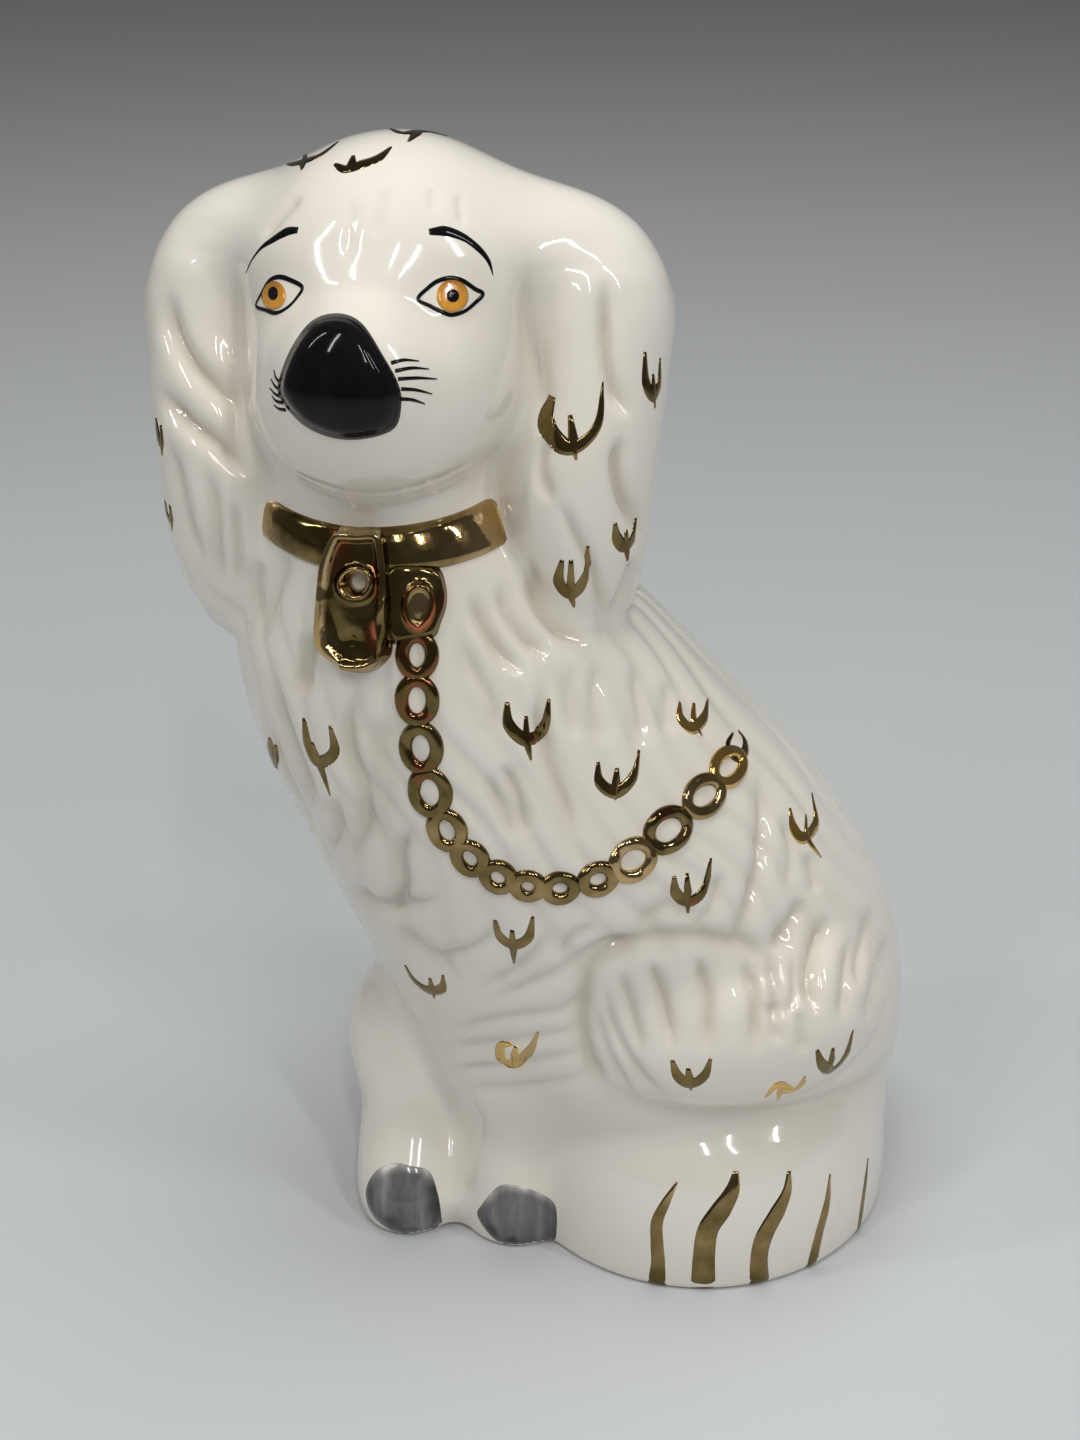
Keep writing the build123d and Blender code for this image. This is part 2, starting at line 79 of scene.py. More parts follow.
# Trunk: (height, centre x, centre y, half width, half depth, turn)
TRUNK_ROWS = [
    (0, 8, 3, 40, 31, 12),
    (18, 7.5, 2, 43.5, 35, 12),
    (40, 5, -2.5, 48, 39.5, 15),
    (62, -1, -6, 50, 40, 20),
    (84, -10.5, -11.5, 47.8, 39.5, 24),
    (104, -21.5, -17, 43, 37, 24),
    (122, -29.5, -21.5, 35.5, 33, 18),
    (136, -34.5, -24, 27, 28.5, 10),
    (148, -37, -24, 22.5, 25.5, 0),
    (160, -36, -26.5, 19.5, 20, 0),
]
WALL = 4.5
HOLLOW_HEIGHT = 30

# Haunches and the web of clay between the paws: centre, radii, turn
HAUNCH_NEAR = ((21, -23, 50.5), (31, 20.5, 20.5), 25)
HAUNCH_FAR = ((25, 20, 38), (25, 17, 25), -10)
PAW_WEB = ((-27, -20, 5), (14, 12, 11), 0)

# Head in its own axes: x to the dog's left, y backwards, z up
HEAD_PLACE = (-34.5, -26, 176.5)
HEAD_TURN = 3
SKULL = ((0, 0, 0), (26, 27.5, 25.5))
JOWLS = ((0, -11.5, -12.5), (21, 19.5, 14))
MUZZLE = ((0, -22.5, -9.5), (15.3, 15.5, 14.5))
NOSE_PAD = ((0.3, -30.5, -4.5), (9.5, 7.5, 9))

# Hanging ears: (height from head centre, out, back, half width, half depth), and a rounded shoulder above.
# Below the tuck height the right ear hangs closer to the neck than the left one.
EAR_ROWS = [
    (-59, 28.5, -1, 2, 2),
    (-57, 28.6, -1.5, 5.5, 5.5),
    (-52, 28.8, -2, 8.8, 8.8),
    (-43, 28.6, -3, 11.8, 12),
    (-27, 28.9, -2.5, 13.2, 15),
    (-11, 29.9, 1.5, 13.4, 15.5),
    (1, 29.2, 5, 12.8, 15),
    (7, 27.5, 5.3, 10.5, 12.5),
    (11, 26, 5.5, 6, 8),
    (13, 25, 5.5, 1.5, 2),
]
RIGHT_EAR_TUCK = 2.4
TUCK_HEIGHT = -20
EAR_SHOULDER = ((26.8, 5.5, -2.8), (16.3, 15.8, 18.2))

# Forelegs: (height, centre x, centre y, half width, half depth)
FORELEG_NEAR_ROWS = [
    (0, -15.2, -28, 10.2, 10.6),
    (6, -15.5, -28, 11, 11.5),
    (12, -15.4, -26.8, 10.8, 11.8),
    (20, -15.2, -25, 10.5, 11.8),
    (34, -16.5, -25, 12, 12.8),
    (48, -18, -22, 12.5, 13),
    (62, -19, -14, 12, 12),
]
FORELEG_FAR_ROWS = [
    (0, -35.8, -29, 9.4, 10.8),
    (6, -35.8, -29.5, 10.2, 12.3),
    (12, -36.2, -28, 10, 12),
    (20, -37, -23, 9.8, 11),
    (32, -38.5, -17.5, 12, 12.5),
    (41, -37.5, -14.5, 11, 11.8),
    (47, -35.5, -12.5, 7.5, 8.5),
    (50, -34, -11, 3.5, 4),
]

# Tail: a level ring round the near haunch with an oval section
TAIL_RING_CENTRE = (15.5, -4.5)
TAIL_RING_SQUEEZE = 0.93
TAIL_RING_RADIUS = 29.5
TAIL_HEIGHT = 5.5
TAIL_HALF_WIDTH = 9.6
TAIL_HALF_HEIGHT = 24

# Widths of the soft fillets where the forms meet
JOWL_FILLET = 8
MUZZLE_FILLET = 9
NOSE_FILLET = 5
NECK_FILLET = 5
EAR_SHOULDER_FILLET = 3
EAR_FILLET = 3
EAR_TOP_FILLET = 13
EAR_TOP_HEIGHT = 14
HAUNCH_NEAR_FILLET = 2
HAUNCH_FAR_FILLET = 6
FORELEG_FAR_FILLET = 6
FORELEG_NEAR_FILLET = 7
PAW_WEB_FILLET = 5
TAIL_FILLET = 3
FOOT_ROUNDING = 1.6

# Carved strokes in photograph pixels: (half width, depth in mm, points along the groove)
CARVING = {
    "forehead": [
        (7, 0.2, [(352, 196), (350, 228), (347, 262)]),
        (6, 0.3, [(388, 182), (380, 210), (376, 240)]),
        (5, 0.3, [(432, 188), (434, 212)]),
        (5, 0.3, [(458, 192), (463, 226)]),
        (6, 0.4, [(302, 196), (282, 214), (262, 240)]),
        (26, 0.7, [(270, 298), (288, 294)]),
        (32, 0.8, [(436, 298), (464, 293)]),
        (15, -0.5, [(274, 297), (282, 295)]),
        (19, -0.6, [(444, 297), (460, 295)]),
    ],
    "left ear": [
        (12, 0.8, [(232, 260), (233, 330), (236, 400), (238, 470)]),
        (11, 1.5, [(168, 292), (172, 330), (190, 362), (214, 386), (240, 412)]),
        (11, 1.5, [(156, 388), (185, 420), (220, 446), (248, 478)]),
        (9, 1.1, [(166, 440), (176, 480), (186, 525), (206, 574)]),
        (9, 1.1, [(205, 466), (215, 510), (217, 550), (222, 594)]),
        (8, 0.8, [(234, 498), (239, 545), (239, 592)]),
    ],
    "right ear": [
        (14, 1.0, [(530, 262), (532, 320), (540, 380), (546, 440)]),
        (9, 1.3, [(606, 280), (607, 340), (613, 385), (630, 418)]),
        (9, 1.7, [(621, 436), (619, 470), (628, 503), (646, 530)]),
        (8, 0.9, [(558, 500), (574, 535), (590, 565), (599, 600), (603, 642)]),
        (9, 1.4, [(526, 555), (536, 595), (556, 625), (586, 646)]),
        (9, 1.2, [(640, 556), (628, 590), (612, 624)]),
        (9, 0.9, [(546, 436), (540, 470), (550, 504)]),
    ],
    "chest": [
        (10, 1.0, [(287, 545), (280, 575), (268, 605), (262, 640)]),
        (9, 0.8, [(262, 560), (254, 590), (252, 625)]),
        (11, 1.8, [(309, 632), (303, 665), (299, 700)]),
        (9, 1.1, [(268, 668), (277, 712), (292, 752), (306, 790), (312, 828)]),
        (9, 1.0, [(262, 720), (276, 765), (292, 800), (300, 828)]),
        (10, 1.3, [(356, 690), (347, 722), (350, 760), (362, 800), (360, 838), (345, 872)]),
        (18, 1.2, [(384, 740), (379, 770), (383, 805), (376, 830)]),
        (10, 1.0, [(330, 795), (336, 828), (328, 862)]),
        (11, 1.3, [(412, 828), (399, 858), (401, 890), (386, 915)]),
        (9, 1.1, [(345, 884), (372, 904), (404, 908), (440, 900)]),
        (13, 0.9, [(392, 930), (424, 952), (462, 984)]),
        (9, 1.2, [(474, 590), (482, 622), (500, 650), (524, 674)]),
        (9, 1.1, [(500, 580), (508, 612), (528, 640), (548, 656)]),
        (11, 0.9, [(462, 640), (478, 676), (494, 706), (498, 742)]),
        (10, 1.2, [(543, 676), (543, 724), (552, 768), (567, 806), (575, 842)]),
        (9, 1.1, [(502, 764), (518, 796), (528, 838)]),
        (8, 0.8, [(486, 776), (502, 810), (516, 842)]),
        (12, 0.6, [(598, 662), (596, 705), (602, 748)]),
        (12, 0.6, [(634, 662), (641, 705), (644, 748)]),
        (12, 0.5, [(574, 662), (570, 702), (577, 742)]),
        (12, 0.5, [(668, 680), (670, 735)]),
    ],
    "flank": [
        (10, 1.2, [(760, 776), (765, 820), (761, 868), (750, 908), (736, 950)]),
        (10, 0.6, [(788, 815), (793, 850), (792, 890)]),
        (10, 0.6, [(812, 850), (817, 895)]),
        (10, 1.1, [(806, 900), (790, 926), (772, 952)]),
        (10, 1.4, [(830, 915), (815, 950), (811, 985), (818, 1018)]),
        (9, 0.9, [(768, 955), (777, 990), (775, 1025)]),
        (9, 0.7, [(793, 955), (796, 990), (788, 1022)]),
        (9, 0.9, [(852, 935), (847, 980), (842, 1025)]),
        (9, 0.8, [(874, 905), (863, 948), (860, 990)]),
        (9, 0.7, [(888, 935), (876, 985), (866, 1025)]),
        (13, 0.9, [(636, 930), (668, 908), (700, 916)]),
        (8, 0.7, [(556, 962), (572, 938), (598, 928)]),
        (8, 0.7, [(568, 966), (600, 948), (640, 944)]),
        (9, 0.7, [(700, 930), (716, 900), (722, 870)]),
    ],
    "haunch": [
        (13, 1.2, [(584, 1004), (590, 972), (620, 947), (684, 938), (742, 944), (772, 960)]),
        (13, 1.4, [(590, 972), (581, 1018), (588, 1062), (606, 1092)]),
        (11, 0.9, [(602, 1086), (650, 1108), (720, 1117), (800, 1109), (866, 1084), (893, 1050)]),
        (9, 1.2, [(650, 962), (664, 1000), (672, 1052)]),
        (9, 1.2, [(698, 956), (708, 1000), (707, 1056)]),
        (9, 1.2, [(744, 960), (757, 1000), (754, 1056)]),
        (9, 1.0, [(620, 972), (632, 1012), (642, 1056)]),
        (8, 0.9, [(604, 985), (616, 1034), (640, 1076), (668, 1100)]),
        (8, 0.8, [(596, 1010), (608, 1056), (632, 1098)]),
        (9, 0.6, [(774, 1000), (778, 1046)]),
        (9, 0.6, [(802, 1010), (804, 1056)]),
    ],
    "belly": [
        (8, 0.7, [(478, 992), (520, 966), (552, 932)]),
        (8, 0.7, [(490, 1002), (540, 980), (588, 958)]),
        (8, 0.6, [(452, 1032), (500, 1020), (556, 1012), (592, 998)]),
        (8, 0.5, [(446, 1050), (505, 1043), (586, 1030)]),
        (8, 0.5, [(450, 1072), (512, 1066), (590, 1052)]),
        (8, 0.4, [(458, 1090), (524, 1088), (592, 1076)]),
        (8, 0.7, [(428, 962), (468, 950), (502, 928)]),
    ],
}

# A stroke broader than this is a dish, whose ends don't taper
BROADEST_GROOVE = 14

# The strokes were measured through the glaze, which fills them: in the clay they are slimmer and deeper
STROKE_SLIM = 0.8
STROKE_DEEPEN = 1.5

# Soft locks all round the body: deeper on the sides that the photograph doesn't show
LOCK_DEGREES = 11
LOCK_WANDER = 0.33
HIDDEN_LOCK_DEPTH = 0.8
SHOWN_LOCK_DEPTH = 0.4

# Heights where the locks start, are full, are still full and end
HIDDEN_LOCK_HEIGHTS = (14, 30, 164, 186)
SHOWN_LOCK_HEIGHTS = (60, 72, 126, 138)


# Curves, rotations and the camera

def smooth_curve(points, per_span, closed=False):
    """A smooth curve through given points, with per_span samples between neighbours."""
    points = np.asarray(points, float)
    if closed:
        padded = np.vstack((points[-1:], points, points[:2]))
    else:
        first = 2 * points[0] - points[1]
        last = 2 * points[-1] - points[-2]
        padded = np.vstack((first, points, last))
    steps = np.linspace(0, 1, per_span, endpoint=False)[:, None]
    pieces = []
    for a, b, c, d in zip(padded, padded[1:], padded[2:], padded[3:]):
        bend = 2 * a - 5 * b + 4 * c - d
        twist = 3 * (b - c) + d - a
        pieces.append(b + 0.5 * steps * (c - a + steps * (bend + steps * twist)))
    curve = np.vstack(pieces)
    return curve if closed else np.vstack((curve, points[-1:]))


def unit(vectors):
    """Vectors scaled to length one."""
    return vectors / np.maximum(np.linalg.norm(vectors, axis=-1, keepdims=True), 1e-9)


def fade(low, high, values):
    """0 below low, 1 above high, with a soft rise between; high may be under low."""
    t = np.clip((values - low) / (high - low), 0, 1)
    return t * t * (3 - 2 * t)


def bell(distance, width):
    """A smooth bump."""
    return math.exp(-(distance / width) ** 2)


def turned(points, degrees):
    """Points seen from axes that are turned about Z."""
    angle = math.radians(degrees)
    x = math.cos(angle) * points[:, 0] + math.sin(angle) * points[:, 1]
    y = math.cos(angle) * points[:, 1] - math.sin(angle) * points[:, 0]
    return np.stack((x, y, points[:, 2]), 1)


def camera_axes():
    """The camera's place in millimetres and its right, up and forward directions."""
    bearing = math.radians(CAMERA_BEARING)
    dip = math.radians(CAMERA_DIP)
    right = np.array((math.cos(bearing), math.sin(bearing), 0))
    level = np.array((-math.sin(bearing), math.cos(bearing), 0))
    rise = np.array((0.0, 0.0, 1.0))
    place = CAMERA_SIDE * right - CAMERA_DISTANCE * level + CAMERA_HEIGHT * rise
    forward = math.cos(dip) * level - math.sin(dip) * rise
    return place, right, np.cross(right, forward), forward


CAMERA_PLACE, CAMERA_RIGHT, CAMERA_UP, CAMERA_FORWARD = camera_axes()


def to_photo(points):
    """Photograph pixels of points in millimetres."""
    seen = points - CAMERA_PLACE
    depth = seen @ CAMERA_FORWARD
    u = PHOTO_WIDTH / 2 + FOCAL_PIXELS * (seen @ CAMERA_RIGHT) / depth
    v = PHOTO_HEIGHT / 2 - FOCAL_PIXELS * (seen @ CAMERA_UP) / depth
    return np.stack((u, v), 1)


def photo_ray(pixel):
    """Direction from the camera through a photograph pixel."""
    across = (pixel[0] - PHOTO_WIDTH / 2) / FOCAL_PIXELS
    down = (pixel[1] - PHOTO_HEIGHT / 2) / FOCAL_PIXELS
    return unit(CAMERA_FORWARD + across * CAMERA_RIGHT - down * CAMERA_UP)


# Forms as distances in millimetres, negative inside

def oval_distance(x, y, half_width, half_depth):
    """Distance to an ellipse."""
    near = np.sqrt((x / half_width) ** 2 + (y / half_depth) ** 2)
    slope = np.sqrt((x / half_width ** 2) ** 2 + (y / half_depth ** 2) ** 2)
    return near * (near - 1) / np.maximum(slope, 1e-6)


def ellipsoid(points, centre, radii, turn=0):
    """Distance to an ellipsoid that is turned about Z."""
    local = turned(points - np.array(centre, points.dtype), turn)
    radii = np.array(radii, points.dtype)
    near = np.linalg.norm(local / radii, axis=1)
    slope = np.linalg.norm(local / radii ** 2, axis=1)
    return near * (near - 1) / np.maximum(slope, 1e-6)


def between_rows(heights, column, at):
    """Smooth values at some heights, from values given row by row."""
    slopes = np.gradient(column, heights)
    i = np.clip(np.searchsorted(heights, at) - 1, 0, len(heights) - 2)
    span = heights[i + 1] - heights[i]
    t = (at - heights[i]) / span
    start = (1 + 2 * t) * (1 - t) ** 2 * column[i] + t * (1 - t) ** 2 * span * slopes[i]
    end = t * t * (3 - 2 * t) * column[i + 1] - t * t * (1 - t) * span * slopes[i + 1]
    return start + end


def oval_column(points, rows):
    """Distance to a solid whose level sections are ovals, given row by row."""
    table = np.array(rows, float).astype(points.dtype)
    heights = table[:, 0]
    at = np.clip(points[:, 2], heights[0], heights[-1])
    values = [between_rows(heights, table[:, k], at) for k in range(1, table.shape[1])]
    x = points[:, 0] - values[0]
    y = points[:, 1] - values[1]
    if len(values) > 4:
        angle = np.radians(values[4])
        x, y = np.cos(angle) * x + np.sin(angle) * y, np.cos(angle) * y - np.sin(angle) * x
    side = oval_distance(x, y, values[2], values[3])
    beyond = np.maximum(heights[0] - points[:, 2], points[:, 2] - heights[-1])
    capped = np.sqrt(np.maximum(side, 0) ** 2 + beyond ** 2)
    return np.where(beyond > 0, capped, side)


def joined(a, b, width):
    """Union of two forms with a soft fillet of this width."""
    near = np.maximum(width - np.abs(a - b), 0) / width
    return np.minimum(a, b) - near * near * width * 0.25


def tail_ring(points):
    """Distance to the ring of the tail."""
    x = (points[:, 0] - TAIL_RING_CENTRE[0]) / TAIL_RING_SQUEEZE
    y = points[:, 1] - TAIL_RING_CENTRE[1]
    out = np.sqrt(x * x + y * y) - TAIL_RING_RADIUS
    return oval_distance(out, points[:, 2] - TAIL_HEIGHT, TAIL_HALF_WIDTH, TAIL_HALF_HEIGHT)


def ear(local, side):
    """Distance to one ear, in the head's axes; side is 1 for the dog's left ear."""
    rows = []
    for height, out, back, wide, deep in EAR_ROWS:
        tuck = RIGHT_EAR_TUCK * fade(0, TUCK_HEIGHT, height) if side < 0 else 0
        rows.append((height, side * (out - tuck), back - tuck, wide, deep))
    centre, radii = EAR_SHOULDER
    shoulder = ellipsoid(local, (side * centre[0], centre[1], centre[2]), radii)
    return joined(oval_column(local, rows), shoulder, EAR_SHOULDER_FILLET)


def neck_and_head(points):
    """Distance to the trunk and head without the ears, which carries the collar."""
    local = turned(points - np.array(HEAD_PLACE, points.dtype), HEAD_TURN)
    head = joined(ellipsoid(local, *SKULL), ellipsoid(local, *JOWLS), JOWL_FILLET)
    head = joined(head, ellipsoid(local, *MUZZLE), MUZZLE_FILLET)
    head = joined(head, ellipsoid(local, *NOSE_PAD), NOSE_FILLET)
    return joined(oval_column(points, TRUNK_ROWS), head, NECK_FILLET)


def figure_distance(points):
    """Distance to the whole figure before its hair is carved."""
    local = turned(points - np.array(HEAD_PLACE, points.dtype), HEAD_TURN)
    figure = neck_and_head(points)
    figure = joined(figure, ellipsoid(points, *HAUNCH_NEAR), HAUNCH_NEAR_FILLET)
    figure = joined(figure, ellipsoid(points, *HAUNCH_FAR), HAUNCH_FAR_FILLET)
    figure = joined(figure, oval_column(points, FORELEG_FAR_ROWS), FORELEG_FAR_FILLET)
    figure = joined(figure, oval_column(points, FORELEG_NEAR_ROWS), FORELEG_NEAR_FILLET)
    figure = joined(figure, ellipsoid(points, *PAW_WEB), PAW_WEB_FILLET)
    figure = joined(figure, tail_ring(points), TAIL_FILLET)
    ear_fillet = EAR_FILLET + (EAR_TOP_FILLET - EAR_FILLET) * fade(0, EAR_TOP_HEIGHT, local[:, 2])
    figure = joined(figure, ear(local, 1), ear_fillet)
    figure = joined(figure, ear(local, -1), ear_fillet)
    figure = -joined(-figure, points[:, 2], FOOT_ROUNDING)
    hollow = np.maximum(oval_column(points, TRUNK_ROWS) + WALL, points[:, 2] - HOLLOW_HEIGHT)
    return np.maximum(figure, -hollow)


# Meshing the carved skin

def grid_values(distance, low, shape, cell, block=5):
    """Distances on a grid, worked out only in blocks near the surface."""
    blocks = -(-shape // block)
    index = np.stack(np.meshgrid(*[np.arange(n) for n in blocks], indexing="ij"), -1).reshape(-1, 3)
    middle = distance((low + (index + 0.5) * block * cell).astype(np.float32)).reshape(blocks)
    near = np.abs(middle) < 1.6 * block * cell

    def spread(array):
        for axis in range(3):
            array = np.repeat(array, block, axis)
        return array[:shape[0], :shape[1], :shape[2]]

    values = spread(np.where(middle < 0, -1, 1).astype(np.float32)).copy()
    wanted = np.argwhere(spread(near))
    for part in np.array_split(wanted, max(1, len(wanted) // 200000)):
        places = (low + part * cell).astype(np.float32)
        values[part[:, 0], part[:, 1], part[:, 2]] = distance(places)
    return values


def surface_net(distance, low, high, cell):
    """Points and quads of the surface where a distance is zero."""
    shape = np.ceil((high - low) / cell).astype(int) + 1
    values = grid_values(distance, low, shape, cell)
    inside = values < 0
    corners = [(i, j, k) for i in (0, 1) for j in (0, 1) for k in (0, 1)]
    count = np.zeros(shape - 1, np.uint8)
    for i, j, k in corners:
        count += inside[i:shape[0] - 1 + i, j:shape[1] - 1 + j, k:shape[2] - 1 + k]
    active = (count > 0) & (count < 8)
    cells = np.argwhere(active)
    number = np.full(shape - 1, -1, np.int32)
    number[active] = np.arange(len(cells))
    total = np.zeros((len(cells), 3))
    hits = np.zeros(len(cells))
    for corner in corners:
        for axis in range(3):
            if corner[axis]:
                continue
            other = np.array(corner)
            other[axis] = 1
            a = values[tuple((cells + corner).T)]
            b = values[tuple((cells + other).T)]
            crossed = (a < 0) != (b < 0)
            along = np.where(crossed, a / np.where(crossed, a - b, 1), 0)
            place = np.tile(np.array(corner, float), (len(cells), 1))
            place[:, axis] = along
            total += place * crossed[:, None]
            hits += crossed
    points = low + (cells + total / hits[:, None]) * cell
    quads = []
    for axis in range(3):
        u = np.eye(3, dtype=int)[(axis + 1) % 3]
        v = np.eye(3, dtype=int)[(axis + 2) % 3]
        here = np.swapaxes(inside, 0, axis)
        edges = np.argwhere(here[:-1] != here[1:])
        edges[:, [0, axis]] = edges[:, [axis, 0]]
        around = [edges - u - v, edges - v, edges, edges - u]
        quad = np.stack([number[tuple(ring.T)] for ring in around], 1)
        leaving = inside[tuple(edges.T)]
        quads.append(np.where(leaving[:, None], quad, quad[:, ::-1]))
    return points, np.vstack(quads)


def neighbour_mean(points, quads):
    """Mean of each point's neighbours along the quads' edges."""
    start = quads.ravel()
    end = np.roll(quads, -1, axis=1).ravel()
    count = np.bincount(start, minlength=len(points))
    sums = [np.bincount(start, points[end, k], len(points)) for k in range(3)]
    return np.stack(sums, 1) / count[:, None]


def slope_of(distance, points, step=0.15):
    """Distance and its slope at points."""
    here = distance(points)
    slope = np.stack([distance(points + step * axis) - here for axis in np.eye(3)], 1) / step
    return here, slope


def settled(distance, points, quads, rounds):
    """Evenly spread points that lie on the surface, with their outward normals."""
    for _ in range(rounds):
        points = 0.4 * points + 0.6 * neighbour_mean(points, quads)
        here, slope = slope_of(distance, points)
        steep = np.maximum((slope * slope).sum(1), 0.05)
        points = points - np.clip(here / steep, -CELL, CELL)[:, None] * slope
    return points, unit(slope_of(distance, points)[1])


def mesh_normals(points, quads):
    """Outward normals of a quad mesh, point by point."""
    a, b, c, d = (points[quads[:, k]] for k in range(4))
    face = np.cross(c - a, d - b)
    sums = np.zeros_like(points)
    for k in range(4):
        for axis in range(3):
            sums[:, axis] += np.bincount(quads[:, k], face[:, axis], len(points))
    return unit(sums)


def groove_depth(pixels, points, half_width):
    """How deep a carved stroke is at pixels, as a share of its depth, fading out at its ends."""
    line = smooth_curve(points, 8)
    low = line.min(0) - 3 * half_width
    high = line.max(0) + 3 * half_width
    close = np.flatnonzero(((pixels > low) & (pixels < high)).all(1))
    depth = np.zeros(len(pixels))
    best = np.full(len(close), np.inf)
    where = np.zeros(len(close))
    for i, (a, b) in enumerate(zip(line, line[1:])):
        run = b - a
        t = np.clip(((pixels[close] - a) @ run) / (run @ run), 0, 1)
        gap = np.linalg.norm(pixels[close] - a - t[:, None] * run, axis=1)
        nearer = gap < best
        best[nearer] = gap[nearer]
        where[nearer] = (i + t[nearer]) / (len(line) - 1)
    if half_width > BROADEST_GROOVE:
        depth[close] = np.exp(-(best / half_width) ** 2)
    else:
        taper = fade(-0.06, 0.28, np.minimum(where, 1 - where))
        depth[close] = STROKE_DEEPEN * taper * np.exp(-(best / (STROKE_SLIM * half_width)) ** 1.5)
    return depth


def lock_band(heights, at):
    """1 in a band of heights, with soft ends."""
    return fade(heights[0], heights[1], at) * fade(heights[3], heights[2], at)


def carved_depth(points, normals):
    """Depth of the carved hair in millimetres at each point of the skin."""
    facing = -(normals * unit(points - CAMERA_PLACE)).sum(1)
    seen = fade(-0.05, 0.2, facing)
    pixels = to_photo(points)
    depth = np.zeros(len(points))
    for strokes in CARVING.values():
        for half_width, deepest, line in strokes:
            depth += deepest * groove_depth(pixels, line, half_width)
    depth = depth * seen
    axis = np.array([(row[0], row[1], row[2]) for row in TRUNK_ROWS], float)
    centre_x = np.interp(points[:, 2], axis[:, 0], axis[:, 1])
    centre_y = np.interp(points[:, 2], axis[:, 0], axis[:, 2])
    bearing = np.degrees(np.arctan2(points[:, 1] - centre_y, points[:, 0] - centre_x))
    wander = np.sin(points[:, 2] / 11 + bearing / 31) + 0.6 * np.sin(points[:, 2] / 5.3 - bearing / 17)
    waves = np.cos(2 * math.pi * (bearing / LOCK_DEGREES + LOCK_WANDER * wander))
    hidden = lock_band(HIDDEN_LOCK_HEIGHTS, points[:, 2]) * fade(-0.05, -0.35, facing)
    shown = lock_band(SHOWN_LOCK_HEIGHTS, points[:, 2]) * seen
    locks = HIDDEN_LOCK_DEPTH * hidden + SHOWN_LOCK_DEPTH * shown
    return depth + locks * (0.5 + 0.5 * waves) ** 2


def carved_skin():
    """Points, quads, normals and carved depth of the finished skin."""
    low = np.array([value / MM for value in cad_box[0]], float) - 6
    high = np.array([value / MM for value in cad_box[1]], float) + 6
    points, quads = surface_net(figure_distance, low, high, CELL)
    points, normals = settled(figure_distance, points, quads, 2)
    depth = carved_depth(points, normals)
    points = points - depth[:, None] * normals
    points[:, 2] = np.maximum(points[:, 2], 0)
    return points, quads, mesh_normals(points, quads), depth


# Making objects

def new_piece(name, points, faces, material, attributes=None):
    """A smooth shaded mesh object from points in millimetres."""
    mesh = bpy.data.meshes.new(name)
    mesh.from_pydata((np.asarray(points) * MM).tolist(), [], [list(map(int, face)) for face in faces])
    for label, values in (attributes or {}).items():
        layer = mesh.attributes.new(label, "FLOAT", "POINT")
        layer.data.foreach_set("value", np.asarray(values, np.float32))
    mesh.polygons.foreach_set("use_smooth", np.ones(len(mesh.polygons), bool))
    mesh.materials.append(material)
    mesh.update()
    piece = bpy.data.objects.new(name, mesh)
    bpy.context.scene.collection.objects.link(piece)
    return piece


class Clay:
    """Points and faces of several closed shapes that become one piece."""

    def __init__(self):
        self.points = []
        self.faces = []
        self.values = []
        self.total = 0

    def add(self, points, faces, values):
        self.points.append(np.asarray(points, float))
        self.values.append(np.asarray(values, float))
        self.faces.extend([[index + self.total for index in face] for face in faces])
        self.total += len(points)

    def piece(self, node, kind, material, slot):
        """Make the piece that stands for a CAD node, named after it and its kind."""
        attributes = {"tone": np.concatenate(self.values)}
        made = new_piece(f"{node}_{kind}", np.vstack(self.points), self.faces, material, attributes)
        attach(made, "root")
        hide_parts(node)


def on_skin(place, face):
    """A place inside one of the skin's quads, and the soft normal there."""
    place = np.array(place)
    corners = SKIN_QUADS[face]
    gaps = np.linalg.norm(SKIN_POINTS[corners] - place, axis=1) + 0.05
    return place, unit((SKIN_NORMALS[corners] / gaps[:, None]).sum(0))


def nearest(place):
    """The skin's nearest point to a place, and its normal there."""
    found, _, face, _ = SKIN_TREE.find_nearest(Vector(place))
    return on_skin(found, face)


def cast(pixel):
    """The skin's point and normal that a photograph pixel shows."""
    ray = photo_ray(pixel)
    found, _, face, _ = SKIN_TREE.ray_cast(Vector(CAMERA_PLACE), Vector(ray))
    if found is None:
        reach = -CAMERA_PLACE @ CAMERA_FORWARD
        return nearest(CAMERA_PLACE + ray * reach)
    return on_skin(found, face)


def dropped(place, normal, reach=4):
    """The skin straight below a place, and its normal there."""
    found, _, face, _ = SKIN_TREE.ray_cast(Vector(place + reach * normal), Vector(-normal), 2 * reach)
    if found is None:
        return nearest(place)
    return on_skin(found, face)


# How deep a piece's underside sits in the skin, and the jump in depth that ends a fold, in millimetres
SINK = 0.35
FOLD_GAP = 5


def cast_line(pixels):
    """The skin's points and normals along a stroke, which stays on one fold of the skin.

    A pixel past the edge of the fold takes the nearest skin at its neighbour's depth."""
    hits = [cast(pixel) for pixel in pixels]
    depths = [(place - CAMERA_PLACE) @ CAMERA_FORWARD for place, _ in hits]
    start = int(np.argmin(depths))
    for step in (1, -1):
        i = start + step
        while 0 <= i < len(hits):
            if abs(depths[i] - depths[i - step]) > FOLD_GAP:
                ray = photo_ray(pixels[i])
                reach = depths[i - step] / (ray @ CAMERA_FORWARD)
                hits[i] = nearest(CAMERA_PLACE + reach * ray)
                depths[i] = (hits[i][0] - CAMERA_PLACE) @ CAMERA_FORWARD
            i += step
    return hits


def spread_along(values, count):
    """Values given evenly along a stroke, at count steps; a single value is the same all along."""
    values = np.atleast_1d(values)
    return np.interp(np.linspace(0, 1, count), np.linspace(0, 1, len(values)), values)


